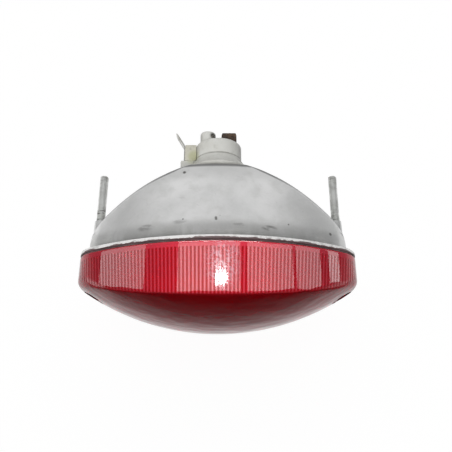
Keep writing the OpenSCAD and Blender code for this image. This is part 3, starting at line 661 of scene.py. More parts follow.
def rib_height(i, y):
    """How far a rib stands out of the wall. The ribs draw together a little towards the front."""
    along = (i - TOP_MIDDLE + QUARTER) % (2 * QUARTER) - QUARTER
    if abs(along) > SIDE_HALF:
        along = math.copysign(SIDE_HALF * (QUARTER - abs(along)) / (QUARTER - SIDE_HALF), along)
    drift = RIB_DRIFT * (LENS_RIM_Y - y) / DRIFT_DEPTH * along
    return RIB_DEPTH * abs(math.sin(math.pi * (i + drift) / RIB_POINTS))


INNER_TURN, RIB_ROWS = 0.0022, 9
lens_columns = []
for i, (point, out) in enumerate(outline(RIB_COUNT * RIB_POINTS)):
    at = placer(point, out)

    def on_crown(share, inset=0.0):
        x, z = (point[0] - inset * out[0]) * share, (point[1] - inset * out[1]) * share
        return (x, crown_y(x, z, inset), z)

    reach = math.hypot(*point)
    edge_y = crown_y(*point)
    turn = 0.0010 + 0.0022 * min(1, max(0, (abs(point[0]) - 0.055) / 0.022))
    sunk = turn * (1.5 + 1.6 * noise.noise(Vector((point[0] * 90, 0, point[1] * 90))))
    column = [on_crown(k / 12) for k in range(1, 12)]
    column += fillet(at(0, edge_y), on_crown(1 - turn / reach), at(0, edge_y + sunk), 6)
    column += [at(0, edge_y + sunk + 0.0003), at(0, LENS_RIM_Y - 0.0010)]
    column += fillet(at(0, LENS_RIM_Y), at(0, LENS_RIM_Y - 0.0007), at(0.0006, LENS_RIM_Y), 4)
    # the ribs stand out of the inner face, from a little below the rim to the crown
    inner_y = crown_y(point[0] - LENS_T * out[0], point[1] - LENS_T * out[1], LENS_T)
    column += [at(LENS_T, LENS_RIM_Y), at(LENS_T, LENS_RIM_Y - 0.0024)]
    column += [at(LENS_T + rib_height(i, LENS_RIM_Y - 0.0030) * 0.6, LENS_RIM_Y - 0.0030)]
    first_y, last_y = LENS_RIM_Y - 0.0040, inner_y + 0.0019
    for k in range(RIB_ROWS):
        y = first_y + (last_y - first_y) * k / (RIB_ROWS - 1)
        column.append(at(LENS_T + rib_height(i, y), y))
    last_rib = at(LENS_T + rib_height(i, inner_y + 0.0016), inner_y + 0.0016)
    column += fillet(at(LENS_T, inner_y), last_rib, on_crown(1 - INNER_TURN / reach, LENS_T), 4)
    column += [on_crown((1 - INNER_TURN / reach) * k / 12, LENS_T) for k in range(11, 0, -1)]
    lens_columns.append(column)
lens_shell = loft("lens_shell", zip(*lens_columns), start=(0, CROWN_Y, 0), end=(0, CROWN_Y + LENS_T, 0))

TOWER_R, RECESS_R, RECESS_FLOOR_Y = 0.0072, 0.0056, LENS_RIM_Y - 0.0085
for side in (-1, 1):
    centre = (side * SCREW_X, 0)
    tower = pin("tower", TOWER_R, crown_y(SCREW_X + TOWER_R, 0) + 0.0015, LENS_RIM_Y, centre, 72)
    recess = turned("recess", [
        (0, -0.06), (RECESS_R, -0.06), (RECESS_R, RECESS_FLOOR_Y - 0.0003),
        (RECESS_R - 0.0003, RECESS_FLOOR_Y), (0, RECESS_FLOOR_Y)], centre, 72)
    through = pin("through", SCREW_HOLE_R, -0.04, -0.02, centre)
    joined(lens_shell, ("UNION", tower), ("DIFFERENCE", recess), ("DIFFERENCE", through))

red_lens = Look("clear_red_lens")
haze = red_lens.stained(45, 0.4, 0.75)
rubs = red_lens.scratched(60, 5, 0.08)
way = first_value(red_lens.tree, "ShaderNodeNewGeometry", "True Normal")
crowned = abs(way.parts()[1]).ranged(0.15, 0.5, 0, 1)
# the plastic is thinner, and so lighter, between the ribs and in the plain band below the rim
RIB_TURN = math.tau * RIB_COUNT * SIDE_R / OUTLINE_LENGTH
RIB_SHIFT = math.pi - (math.tau * RIB_COUNT * MEET * END_R / OUTLINE_LENGTH) + math.pi * RIB_COUNT / 2
across = red_lens.x * way.math("SIGN", red_lens.z)
wall_place = way.math("ARCTAN2", across, abs(red_lens.z) + SIDE_Z)
drawn = red_lens.y.ranged(LENS_RIM_Y, LENS_RIM_Y - DRIFT_DEPTH, RIB_TURN, RIB_TURN * (1 + RIB_DRIFT), "LINEAR")
ridge = way.math("COSINE", wall_place * drawn + RIB_SHIFT).ranged(-0.8, 0.3, 0, 1)
ribbed = red_lens.y.ranged(LENS_RIM_Y - 0.0034, LENS_RIM_Y - 0.0026, 1, 0)
ridge = ridge * ribbed
# it looks darker towards the ends, where less light comes back out of the lamp
towards_end = abs(red_lens.x).ranged(0.012, 0.062, 0, 0.60)
# painted shade and light: the crown is a darker copy of the same red, painted lighter towards its lower side
crown_lit_below = red_lens.z.ranged(0.022, -0.018, 0, 1)
shaded_crown_red = red_lens.blended((0.56, 0.002, 0.014), (crown_lit_below, (1.0, 0.004, 0.028)))
# scuffed on top, where hands have rubbed it; the lighter colour of the scuffs is a painted glow round the small spot's
# highlight
scuff_and_glow_area = red_lens.near((0.0035, -0.0240, 0.038), 0.0115, red_lens.stretched(1, 0.65, 1))
scuffs_and_glow = scuff_and_glow_area * red_lens.stained(420, 0.42, 0.62)
colour = red_lens.blended(
    (1.0, 0.045, 0.092), (haze, (0.95, 0.040, 0.086)), (ridge, (0.56, 0.001, 0.010)),
    (towards_end, (0.24, 0.002, 0.010)), (crowned, shaded_crown_red), (scuffs_and_glow * 0.42, (0.80, 0.42, 0.56)))
# the ribbed inner face is left duller by the mould
from_middle = red_lens.place.vector("ADD", (0, 0.03, 0))
inner = way.vector("DOT_PRODUCT", from_middle, "Value").is_below(0)
rough = haze.ranged(0, 1, 0.02, 0.06) + rubs * 0.25 + scuffs_and_glow * 0.12 + inner * 0.14
# the wall is glossier over the hollows between the ribs
gloss = (ribbed.ranged(0, 1, 0.4, 1, "LINEAR") - ridge) * crowned.ranged(0, 1, 1, 0, "LINEAR") + crowned * 0.34
# the crown has sunk a little unevenly, so that reflections waver in it
uneven = red_lens.noise(75, 2, red_lens.stretched(1, 1, 2.2))
height = red_lens.noise(90, 1) - rubs * 0.3 + uneven * 70 * crowned
red_lens.finish(height, 0.06, 0.0002, Base_Color=colour, Roughness=rough, Coat_Weight=gloss, Coat_Roughness=0.03,
                IOR=1.49, Specular_IOR_Level=0.25, Transmission_Weight=0.55)
panel_lit.objects.link(lens_shell)
fill_shaded.objects.link(lens_shell)
for shaded in fill_shaded.collection_objects:
    shaded.light_linking.link_state = "EXCLUDE"
finished(lens_shell, "lens", "lens", red_lens, 38)


# Screws: two long M5 machine screws with domed heads and a cross recess. They pass through lens,
# gasket and housing into the bracket. The zinc has gone dull, with dirt packed in the threads.
wire_tree = bpy.data.node_groups.new("wound_wire", "GeometryNodeTree")
wire_tree.is_modifier = True
for socket, kind in (
        ("Geometry", "Geometry"), ("Start", "Vector"), ("Turn", "Rotation"), ("Turns", "Float"), ("Radius", "Float"),
        ("Length", "Float"), ("Steps", "Int"), ("Left Handed", "Bool"), ("Base", "Float"), ("Crest", "Float"),
        ("Height", "Float"), ("Round", "Bool"), ("Look", "Material")):
    wire_tree.interface.new_socket(socket, in_out="INPUT", socket_type="NodeSocket" + kind)
wire_tree.interface.new_socket("Geometry", in_out="OUTPUT", socket_type="NodeSocketGeometry")
given = wire_tree.nodes.new("NodeGroupInput").outputs


def wire_step(kind, inputs, **settings):
    """Puts a node in the wire's tree and gives its first output."""
    return add_node(wire_tree, "GeometryNode" + kind, inputs, **settings).outputs[0]


helix = wire_step("CurveSpiral", {
    "Resolution": given["Steps"], "Rotations": given["Turns"], "Start Radius": given["Radius"],
    "End Radius": given["Radius"], "Height": given["Length"], "Reverse": given["Left Handed"]})
helix = wire_step("SetCurveNormal", {"Curve": helix}, mode="Z_UP")
ridge = wire_step("CurvePrimitiveQuadrilateral", {
    "Bottom Width": given["Base"], "Top Width": given["Crest"], "Height": given["Height"], "Offset": 0},
    mode="TRAPEZOID")
ridge = wire_step("Transform", {"Geometry": ridge, "Rotation": (0, 0, -math.pi / 2)})
circle = wire_step("CurvePrimitiveCircle", {"Resolution": 12, "Radius": given["Height"]})
section = wire_step("Switch", {"Switch": given["Round"], "False": ridge, "True": circle}, input_type="GEOMETRY")
tube = wire_step("CurveToMesh", {"Curve": helix, "Profile Curve": section, "Fill Caps": True})
tube = wire_step("Transform", {"Geometry": tube, "Translation": given["Start"], "Rotation": given["Turn"]})
tube = wire_step("RealizeInstances", {"Geometry": tube})
tube = wire_step("SetMaterial", {"Geometry": tube, "Material": given["Look"]})
feed(wire_tree.nodes.new("NodeGroupOutput").inputs[0], tube)


def wound(name, start, look, along_x=False, **values):
    """Wire or thread wound along Y, or along X, from a start point: a plain mesh from the node tree."""
    made = hung(name, bpy.data.meshes.new(name))
    step = made.modifiers.new("wound", "NODES")
    step.node_group = wire_tree
    turn = (0, math.pi / 2, 0) if along_x else (-math.pi / 2, 0, 0)
    values = {"Start": start, "Turn": turn, "Look": look.material, **values}
    for socket in wire_tree.interface.items_tree:
        if socket.in_out == "INPUT" and socket.name in values:
            step[socket.identifier] = values[socket.name]
    take_mesh(made)
    return made


def flat_bar(name, centre, y_low, y_high, low_size, high_size):
    """A tapered bar along Y: its sizes in x and z at both ends."""
    corners = ((-1, -1), (1, -1), (1, 1), (-1, 1))
    rings = [[(centre[0] + sx * wide / 2, y, centre[1] + sz * high / 2) for sx, sz in corners]
             for y, (wide, high) in ((y_low, low_size), (y_high, high_size))]
    return loft(name, rings, start=(centre[0], y_low, centre[1]), end=(centre[0], y_high, centre[1]))


HEAD_SEAT_Y, HEAD_FACE_Y, SCREW_TIP_Y = -0.0345, -0.0377, 0.0300
SHANK_R, CORE_R = 0.0023, 0.00207
zinc = Look("dull_zinc")
dull = zinc.stained(130, 0.38, 0.66)
grime = zinc.stained(190, 0.5, 0.6, zinc.stretched(1, 2.6, 1))
rust = zinc.stained(260, 0.63, 0.72)
# dirt where the thread leaves the bosses, in bands, more on the left screw
low_end = zinc.y.ranged(0.002, 0.013, 1, 0) * zinc.x.ranged(-0.01, 0.01, 1, 0.35)
high_end = zinc.y.ranged(0.018, 0.026, 0, 0.4)
colour = zinc.blended(
    (0.88, 0.89, 0.87), (dull, (0.60, 0.61, 0.585)), (low_end * grime, (0.11, 0.11, 0.095)),
    (high_end * grime, (0.20, 0.20, 0.18)), (rust * 0.5, (0.16, 0.085, 0.045)))
zinc.finish(dull - rust, 0.35, 0.00015, Base_Color=colour, Metallic=0.75, Roughness=dull.ranged(0, 1, 0.36, 0.55))

for side, name in ((-1, "screw_left"), (1, "screw_right")):
    centre = (side * SCREW_X, 0)
    dome = [(0.0027 + 0.002 * math.cos(a), HEAD_FACE_Y + 0.002133 * (1 - math.sin(a)))
            for a in map(math.radians, range(90, -1, -9))]
    core = turned(name + "_whole", [(0, HEAD_FACE_Y), (0.0014, HEAD_FACE_Y)] + dome + [
        (0.0047, HEAD_SEAT_Y - 0.0002), (0.0045, HEAD_SEAT_Y), (0.0025, HEAD_SEAT_Y),
        (SHANK_R, HEAD_SEAT_Y + 0.0003), (SHANK_R, 0.0003), (CORE_R, 0.0006), (CORE_R, SCREW_TIP_Y - 0.0004),
        (0.0018, SCREW_TIP_Y), (0, SCREW_TIP_Y)], centre, 64)
    for wide, high in (((0.0050, 0.0011), (0.0034, 0.0008)), ((0.0011, 0.0050), (0.0008, 0.0034))):
        cross = flat_bar("cross", centre, HEAD_FACE_Y - 0.0005, HEAD_FACE_Y + 0.0018, wide, high)
        joined(core, ("DIFFERENCE", cross))
    thread = wound(
        "thread", (centre[0], 0.0008, 0), zinc, Turns=35.5, Radius=0.00225, Length=0.0284, Steps=40,
        Base=0.00074, Crest=0.00014, Height=0.0005)
    joined(core, ("UNION", thread))
    finished(core, name, name, zinc, 40)


# Sealing washers: soft rubber rings under the screws' heads.
for side, name, body in ((-1, "screw_seal_left", "washer_left"), (1, "screw_seal_right", "washer_right")):
    low, high = HEAD_SEAT_Y + 0.00002, HEAD_SEAT_Y + 0.00098
    washer = turned(name + "_ring", [
        (SCREW_HOLE_R, low + 0.0002), (0.00285, low), (0.0046, low), (0.0049, low + 0.0003),
        (0.0049, high - 0.0003), (0.0046, high), (0.00285, high), (SCREW_HOLE_R, high - 0.0002)],
        (side * SCREW_X, 0), 64)
    finished(washer, name, body, rubber)


# Holder seal: a rubber ring between the housing's seat and the holder's foot, squeezed a little.
seal = turned("holder_seal_ring", [
    (0.0132, 0.02772), (0.0134, 0.02752), (0.0182, 0.02752), (0.01855, 0.0279), (0.0186, 0.02812),
    (0.01855, 0.02834), (0.0182, 0.02872), (0.0134, 0.02872), (0.0132, 0.02852)], steps=128)
finished(seal, "holder_seal", "housing", rubber)


# Holder collar: the moulded foot of the bulb holder, once white. It flares down to the seal,
# carries a finger tab, and locks under the seat with two lugs.
FOOT_Y, SKIRT_Y, CAP_Y, LUG_Y = 0.02874, 0.03134, 0.03984, 0.02265
FOOT_R, FLARE_TOP_R, HOLDER_BORE_R = 0.0204, 0.0145, 0.00845


def block(name, low, high, edge, steps=3):
    """A box between two corners, with rounded edges."""
    made = hung(name, bpy.data.meshes.new(name))
    shape = bmesh.new()
    bmesh.ops.create_cube(shape, size=1)
    for vert in shape.verts:
        vert.co = [a + (b - a) * (c + 0.5) for a, b, c in zip(low, high, vert.co)]
    bmesh.ops.bevel(shape, geom=shape.edges[:], offset=edge, segments=steps, profile=0.5, affect="EDGES")
    shape.to_mesh(made.data)
    shape.free()
    return made


flare = fillet((0.0166, 0.0351), (0.02, 0.0317), (FLARE_TOP_R, 0.0396), 10)
collar = turned("collar_moulding", [
    (HOLDER_BORE_R, CAP_Y), (0.0142, CAP_Y), (0.01445, CAP_Y - 0.0001), *flare[::-1], (0.02033, 0.0313),
    (FOOT_R, 0.0310), (FOOT_R, FOOT_Y + 0.0003), (0.0201, FOOT_Y), (0.0124, FOOT_Y), (0.0124, LUG_Y + 0.0004),
    (0.0120, LUG_Y), (0.0090, LUG_Y), (0.0090, 0.0385), (HOLDER_BORE_R, 0.0385)], steps=128)
for turn in (0, 180):
    joined(collar, ("UNION", wedge("lug", turn, 15, 0.0110, 0.0150, LUG_Y, LUG_Y + 0.002)))
tab = block("tab", (-0.0234, SKIRT_Y - 0.0012, -0.005), (-0.0100, SKIRT_Y + 0.0077, 0.005), 0.0006)
blade_slot = block("blade_slot", (-0.02167, 0.0350, -0.0032), (-0.02077, 0.0400, 0.0032), 0.00005, 1)
joined(collar, ("UNION", tab), ("DIFFERENCE", blade_slot))

white_plastic = Look("aged_white_plastic")
aged = white_plastic.stained(55, 0.35, 0.7)
grey = white_plastic.stained(170, 0.52, 0.72)
marks = white_plastic.scratched(110, 3, 0.05)
# dirt and painted shade in the joint between cap and collar, and at the foot
joint_line = abs(white_plastic.y - CAP_Y).ranged(0.0002, 0.0009, 1, 0)
foot_line = white_plastic.y.ranged(FOOT_Y, FOOT_Y + 0.0022, 1, 0)
grime_and_shade = (joint_line + foot_line * 0.8) * white_plastic.stained(120, 0.3, 0.6).ranged(0, 1, 0.25, 0.75)
# a greenish stain beside the blade's block, and painted shade in the wire's hole
green = white_plastic.near((-0.0160, 0.0410, 0.0060), 0.0060) * 0.6
hole_shade = white_plastic.near((-0.0035, 0.0543, 0.0080), 0.0030)
# painted shade down the two sides, where the round moulding turns away, and on the post's left side
aside = abs(white_plastic.x)
side_shade = aside.ranged(0.0105, 0.0150, 0, 0.75) * white_plastic.y.ranged(0.0330, 0.0375, 0, 1)
side_shade = side_shade * aside.ranged(0.0152, 0.0162, 1, 0)
side_shade = side_shade.at_least(white_plastic.near((-0.0114, 0.0530, 0.0060), 0.0042) * 0.75)
side_shade = side_shade * white_plastic.stained(90, 0.2, 0.6).ranged(0, 1, 0.7, 1)
colour = white_plastic.blended(
    (0.70, 0.70, 0.665), (aged, (0.62, 0.615, 0.57)), (grey * 0.4, (0.45, 0.45, 0.41)),
    (grime_and_shade, (0.24, 0.235, 0.21)), (green, (0.46, 0.47, 0.27)), (marks * 0.45, (0.33, 0.33, 0.30)),
    (hole_shade, (0.035, 0.034, 0.030)), (side_shade, (0.36, 0.36, 0.33)))
height = white_plastic.noise(700, 3) - marks
white_plastic.finish(height, 0.25, 0.00015, Base_Color=colour, Roughness=grey.ranged(0, 1, 0.42, 0.62))
finished(collar, "holder_collar", "holder", white_plastic, 40)


# Holder cap: the round white moulding over the socket, with a post for the tail light's wire.
# It sits on the collar and is held by the barrel that runs through both.
CAP_R, CAP_END_Y, CAVITY_Y = 0.01435, 0.0501, 0.0481
POST_X, POST_Z, POST_R, POST_TOP_Y = -0.0065, 0.005, 0.0048, 0.0573
POST_FOOT_Y, WIRE_Y, EDGE_R = 0.0491, 0.0543, 0.0012
rim = [(CAP_R - EDGE_R * (1 - math.cos(a)), CAP_END_Y - EDGE_R * (1 - math.sin(a)))
       for a in map(math.radians, range(0, 91, 10))]
cap = turned("cap_moulding", [
    (0, CAVITY_Y), (HOLDER_BORE_R, CAVITY_Y), (HOLDER_BORE_R, CAP_Y + 0.00002), (0.0141, CAP_Y + 0.00002),
    (CAP_R, CAP_Y + 0.0003), *rim, (0, CAP_END_Y)], steps=128)
post = turned("post", [
    (0, POST_FOOT_Y), (0.0047, POST_FOOT_Y), (0.0047, 0.0500),
    *fillet((POST_R, CAP_END_Y), (POST_R, CAP_END_Y - 0.0001), (POST_R, 0.0506), 3),
    *fillet((POST_R, POST_TOP_Y), (POST_R, POST_TOP_Y - 0.0011), (POST_R - 0.0011, POST_TOP_Y), 6),
    (0, POST_TOP_Y)], (POST_X, POST_Z), 80)
socket = turned("socket", [
    (0, POST_FOOT_Y), (0.00255, POST_FOOT_Y), (0.00255, 0.0570), (0.0029, 0.0576), (0, 0.0576)],
    (POST_X, POST_Z), 56)


def placed(piece, place, *turns):
    """Moves a shape to a place, turned there by (degrees, axis) pairs, the last one first."""
    matrix = Matrix.Translation(place)
    for angle, axis in turns:
        matrix = matrix @ Matrix.Rotation(math.radians(angle), 4, axis)
    piece.data.transform(matrix)
    return piece


def wire_hole():
    """The round hole in the post's side, aimed between the front and the right."""
    return placed(pin("wire_hole", 0.0016, 0, 0.0058, steps=40), (POST_X, WIRE_Y, POST_Z), (45, "Y"), (90, "X"))


joined(cap, ("UNION", post), ("DIFFERENCE", socket), ("DIFFERENCE", wire_hole()))
finished(cap, "holder_cap", "holder", white_plastic, 40)


# Terminal block: a cream moulded insulator that stands on the tab behind the blade.
BLOCK_Y, BLOCK_GAP = 0.03906, 0.00025
insulator = block("insulator_block", (-0.0208, BLOCK_Y, -0.005), (-0.0136, BLOCK_Y + 0.011, 0.005), 0.0005)
hollow = turned("hollow", [
    (0, SKIRT_Y), (FOOT_R + BLOCK_GAP, SKIRT_Y), (FLARE_TOP_R + BLOCK_GAP, CAP_Y), (CAP_R + BLOCK_GAP, CAP_Y),
    (CAP_R + BLOCK_GAP, 0.052), (0, 0.052)], steps=128)
joined(insulator, ("DIFFERENCE", hollow))
cream = Look("aged_cream_plastic")
brown = cream.stained(140, 0.45, 0.7)
colour = cream.blended(
    (0.60, 0.585, 0.50), (brown, (0.47, 0.45, 0.36)), (cream.stained(320, 0.6, 0.72) * 0.6, (0.22, 0.20, 0.15)),
    (cream.near((-0.0150, 0.0420, 0.0060), 0.0055) * 0.6, (0.42, 0.43, 0.22)))
cream.finish(cream.noise(600) + brown, 0.25, 0.0002, Base_Color=colour, Roughness=brown.ranged(0, 1, 0.45, 0.6))
finished(insulator, "terminal_block", "holder", cream, 40)


# Earth blade: a thin tinned strip that stands in the tab beside the block and bends outwards.
BLADE_X, BEND_Y, BLADE_T, BLADE_LENGTH = -0.02122, 0.05004, 0.0008, 0.0112
BEND_DEGREES, BEND_STEP = 30, 0.0004
bend = math.radians(BEND_DEGREES)


def past_bend(length):
    """A point of the blade's middle line, this far beyond its bend."""
    return BLADE_X - length * math.sin(bend), BEND_Y + length * math.cos(bend)


path = [(BLADE_X, 0.03506, 0), (BLADE_X, 0.0420, 0), (BLADE_X, BEND_Y - 0.0012, 0)]
for k in range(1, 6):
    a = bend * k / 6
    path.append((path[-1][0] - math.sin(a) * BEND_STEP, path[-1][1] + math.cos(a) * BEND_STEP, a))
start, tip = (*past_bend(0.0009), bend), (*past_bend(BLADE_LENGTH), bend)
path += [start, tuple(a + (b - a) * 0.85 for a, b in zip(start, tip)), tip]
blade_rings = []
for k, (x, y, a) in enumerate(path):
    half, thick = (0.00315, BLADE_T / 2) if k < len(path) - 1 else (0.0022, BLADE_T / 3)
    across = (math.cos(a) * thick, math.sin(a) * thick)
    blade_rings.append([(x + s * across[0], y + s * across[1], z * half) for s, z in (
        (-0.8, -1), (0.8, -1), (1, -0.95), (1, 0.95), (0.8, 1), (-0.8, 1), (-1, 0.95), (-1, -0.95))])
blade = loft("earth_blade_strip", blade_rings, start=(*path[0][:2], 0), end=(*path[-1][:2], 0))
hole = placed(pin("hole", 0.00085, -0.002, 0.002, steps=32), (*past_bend(0.00784), 0), (BEND_DEGREES + 90, "Z"))
joined(blade, ("DIFFERENCE", hole))
tinned = Look("dull_tinned_metal")
spots = tinned.stained(210, 0.5, 0.7)
drag = tinned.scratched(240, 0.2, 0.2)
colour = tinned.blended((0.60, 0.595, 0.56), (spots, (0.40, 0.385, 0.34)), (drag * 0.6, (0.30, 0.29, 0.27)))
tinned.finish(spots + drag, 0.3, 0.0001, Base_Color=colour, Metallic=0.8, Roughness=spots.ranged(0, 1, 0.32, 0.55))
finished(blade, "earth_blade", "holder", tinned)


# Tail terminal: a brass sleeve pressed into the post, closed at its foot.
brass = Look("tarnished_brass")
tarnish = brass.stained(150, 0.4, 0.68)
green = brass.stained(330, 0.64, 0.74)
drag = brass.scratched(200, 0.3, 0.12)
colour = brass.blended(
    (0.72, 0.55, 0.27), (tarnish, (0.42, 0.31, 0.15)), (green * 0.5, (0.22, 0.30, 0.20)),
    (drag * 0.5, (0.80, 0.66, 0.38)))
rough = tarnish.ranged(0, 1, 0.28, 0.5)
brass.finish(tarnish - green, 0.25, 0.0001, Base_Color=colour, Metallic=0.9, Roughness=rough)
sleeve = turned("tail_terminal_sleeve", [
    (0, 0.04912), (0.0025, 0.04912), (0.0025, 0.0570), (0.0023, 0.05728), (0.0019, 0.05728), (0.0017, 0.0570),
    (0.0017, 0.05012), (0, 0.05012)], (POST_X, POST_Z), 64)
joined(sleeve, ("DIFFERENCE", wire_hole()))
finished(sleeve, "tail_terminal", "holder", brass, 40)


# Stop terminal: a steel strip folded into a clamp for the stop light's wire, standing on the cap.
# It is rusty brown all over, with pitted faces.
CLAMP_X, CLAMP_Y, CLAMP_FRONT, CLAMP_BACK = 0.00665, 0.05012, 0.005, -0.0015
CLAMP_T, CLAMP_ROWS, PIT_DEPTH = 0.0012, 24, 0.00011
CLAMP_TOP_Y, FOLD_Y, INNER_TOP_Y = CLAMP_Y + 0.009, CLAMP_Y + 0.0074, CLAMP_Y + 0.0078
strip = [(CLAMP_Y, CLAMP_FRONT)]
strip += fillet((CLAMP_TOP_Y, CLAMP_FRONT), (FOLD_Y, CLAMP_FRONT), (CLAMP_TOP_Y, CLAMP_FRONT - 0.0016), 5)
strip += fillet((CLAMP_TOP_Y, CLAMP_BACK), (CLAMP_TOP_Y, CLAMP_BACK + 0.0016), (FOLD_Y, CLAMP_BACK), 5)
strip += [(CLAMP_Y, CLAMP_BACK), (CLAMP_Y, CLAMP_BACK + CLAMP_T), (CLAMP_Y + 0.0072, CLAMP_BACK + CLAMP_T),
          (INNER_TOP_Y, CLAMP_BACK + 0.0018), (INNER_TOP_Y, CLAMP_FRONT - 0.0018),
          (CLAMP_Y + 0.0072, CLAMP_FRONT - CLAMP_T), (CLAMP_Y, CLAMP_FRONT - CLAMP_T)]
shape = bmesh.new()
rows = []
for k in range(CLAMP_ROWS + 1):
    across = 2 * (k / CLAMP_ROWS) - 1
    # the strip's edges curve in towards its folded top
    rows.append([shape.verts.new((
        CLAMP_X + across * (0.00465 - 0.0011 * max(0, (y - CLAMP_Y - 0.0070) / 0.002) ** 2), y, z))
        for y, z in strip])
for a, b in zip(rows, rows[1:]):
    for i in range(len(strip)):
        j = (i + 1) % len(strip)
        shape.faces.new((a[i], a[j], b[j], b[i]))
shape.faces.new(rows[0][::-1])
shape.faces.new(rows[-1])
bmesh.ops.triangulate(shape, faces=shape.faces[:])
bmesh.ops.recalc_face_normals(shape, faces=shape.faces)
long_edges = [e for e in shape.edges if e.calc_length() > 0.0012]
bmesh.ops.subdivide_edges(shape, edges=long_edges, cuts=2, use_grid_fill=True)
bmesh.ops.triangulate(shape, faces=shape.faces[:])
for vert in shape.verts:
    pit = PIT_DEPTH * noise.noise(vert.co * 900) - PIT_DEPTH
    if abs(vert.co.y - CLAMP_Y) > 0.0005:
        vert.co += vert.normal * pit
clamp = hung("stop_terminal_clamp", bpy.data.meshes.new("stop_terminal_clamp"))
shape.to_mesh(clamp.data)
shape.free()
rusty = Look("rusted_steel")
layers = rusty.stained(180, 0.35, 0.68)
flakes = rusty.stained(520, 0.5, 0.66)
bare = rusty.stained(300, 0.66, 0.72)
colour = rusty.blended(
    (0.060, 0.042, 0.034), (layers, (0.135, 0.085, 0.055)), (flakes * 0.7, (0.035, 0.026, 0.024)),
    (bare * 0.5, (0.25, 0.22, 0.19)))
rough = layers.ranged(0, 1, 0.5, 0.85)
rusty.finish(layers + flakes, 0.7, 0.0003, Base_Color=colour, Metallic=0.25, Roughness=rough)
finished(clamp, "stop_terminal", "holder", rusty)


# Socket shell: the brass barrel that grips the bulb's cap. Two hooked slots at different depths
# take its pins. It runs through collar and cap, which hold it.
PIN_Y, MOUTH_Y, BARREL_END_Y = 0.0315, 0.0176, 0.0449
SLOT_HALF, SLOT_IN, SLOT_OUT = 0.00125, 0.006, 0.010
PIN_PLACES = ((0, PIN_Y), (180, PIN_Y + 0.003))
barrel = turned("bayonet_barrel", [
    (0.0076, MOUTH_Y + 0.0003), (0.0078, MOUTH_Y), (0.0082, MOUTH_Y), (0.0084, MOUTH_Y + 0.0003),
    (0.0084, BARREL_END_Y - 0.0002), (0.0082, BARREL_END_Y), (0.0078, BARREL_END_Y),
    (0.0076, BARREL_END_Y - 0.0002)], steps=128)
for turn, pin_at in PIN_PLACES:
    across = pin_at + 0.0025
    leg = block("leg", (SLOT_IN, MOUTH_Y - 0.001, -SLOT_HALF), (SLOT_OUT, across, SLOT_HALF), 0.00002, 1)
    rest = block("rest", (SLOT_IN, pin_at - SLOT_HALF, -SLOT_HALF), (SLOT_OUT, across, SLOT_HALF), 0.0004, 2)
    hook = wedge("across", turn + 15, 25.5, SLOT_IN, SLOT_OUT, across - SLOT_HALF, across + SLOT_HALF)
    joined(barrel, ("DIFFERENCE", placed(leg, (0, 0, 0), (-30 - turn, "Y"))),
           ("DIFFERENCE", placed(rest, (0, 0, 0), (-turn, "Y"))), ("DIFFERENCE", hook))
finished(barrel, "socket_shell", "holder", brass, 40)


# Contact carrier: a disc of brown fibre board that slides in the barrel behind the bulb.
CONTACT_X = 0.0031
carrier = turned("fibre_disc", [
    (0, 0.0394), (0.0073, 0.0394), (0.0075, 0.0396), (0.0075, 0.0418), (0.0073, 0.0420), (0, 0.0420)])
for side in (-1, 1):
    joined(carrier, ("DIFFERENCE", pin("hole", 0.00115, 0.039, 0.0425, (side * CONTACT_X, 0), 32)))
fibre = Look("brown_fibre_board")
bands = {"Vector": fibre.place, "Scale": 900, "Distortion": 2.5, "Detail": 2}
plies = fibre.place.node("ShaderNodeTexWave", bands, "Fac", bands_direction="Y")
dark = fibre.stained(260, 0.4, 0.7)
colour = fibre.blended((0.26, 0.15, 0.08), (dark, (0.18, 0.10, 0.05)), (plies * 0.3, (0.36, 0.24, 0.14)))
fibre.finish(plies, 0.3, 0.0001, Base_Color=colour, Roughness=0.7)
finished(carrier, "contact_carrier", "carrier", fibre)


# Button contacts: two brass rivets through the carrier, domed towards the bulb.
for side, name in ((1, "stop_contact"), (-1, "tail_contact")):
    button = turned(name + "_rivet", [
        (0, 0.03892), (0.0008, 0.03896), (0.0013, 0.03908), (0.0015, 0.03930), (0.0015, 0.03938),
        (0.0011, 0.03938), (0.0011, 0.04202), (0.0015, 0.04202), (0.00145, 0.0425), (0.0011, 0.0428),
        (0, 0.0428)], (side * CONTACT_X, 0), 48)
    finished(button, name, "carrier", brass, 40)


# Contact spring: a coil of drawn steel wire that presses the carrier forward. It is squeezed
# between the carrier and the cap's end when the bulb is pushed in.
steel = Look("drawn_spring_steel")
film = steel.stained(300, 0.5, 0.72)
colour = steel.blended((0.50, 0.50, 0.52), (film, (0.33, 0.31, 0.28)))
steel.finish(film, 0.2, 0.00005, Base_Color=colour, Metallic=1, Roughness=film.ranged(0, 1, 0.22, 0.45))
spring = wound(
    "contact_spring_coil", (0, 0.04242, 0), steel, Turns=3.0, Radius=0.0057, Length=0.00526, Steps=48,
    Height=0.0004, Round=True, **{"Left Handed": True})
finished(spring, "contact_spring", "holder", steel)
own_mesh(spring)


# Bulb base: the thin brass cap of the bulb, closed by a black glass insulator.
BULB_CAP_Y, BULB_END_Y = 0.0196, 0.0381
cup = turned("bulb_cup", [
    (0, 0.0366), (0.0070, 0.0366), (0.0070, BULB_CAP_Y + 0.0001), (0.0071, BULB_CAP_Y),
    (0.0075, BULB_CAP_Y + 0.0002), (0.0075, 0.0373), (0.0073, 0.0379), (0.0067, BULB_END_Y),
    (0.0058, BULB_END_Y), (0.0058, 0.0374), (0, 0.0374)])
finished(cup, "bulb_base", "bulb", brass)
black_glass = Look("black_glass")
colour = black_glass.blended((0.010, 0.010, 0.012), (black_glass.stained(400, 0.45, 0.7), (0.030, 0.026, 0.024)))
black_glass.finish(black_glass.noise(350), 0.3, 0.0003, Base_Color=colour, Roughness=0.15)
insulator = turned("bulb_insulator", [
    (0, 0.03742), (0.00578, 0.03742), (0.00578, 0.0379), (0.0052, BULB_END_Y), (0, BULB_END_Y)], steps=72)
finished(insulator, "bulb_base", "bulb", black_glass)


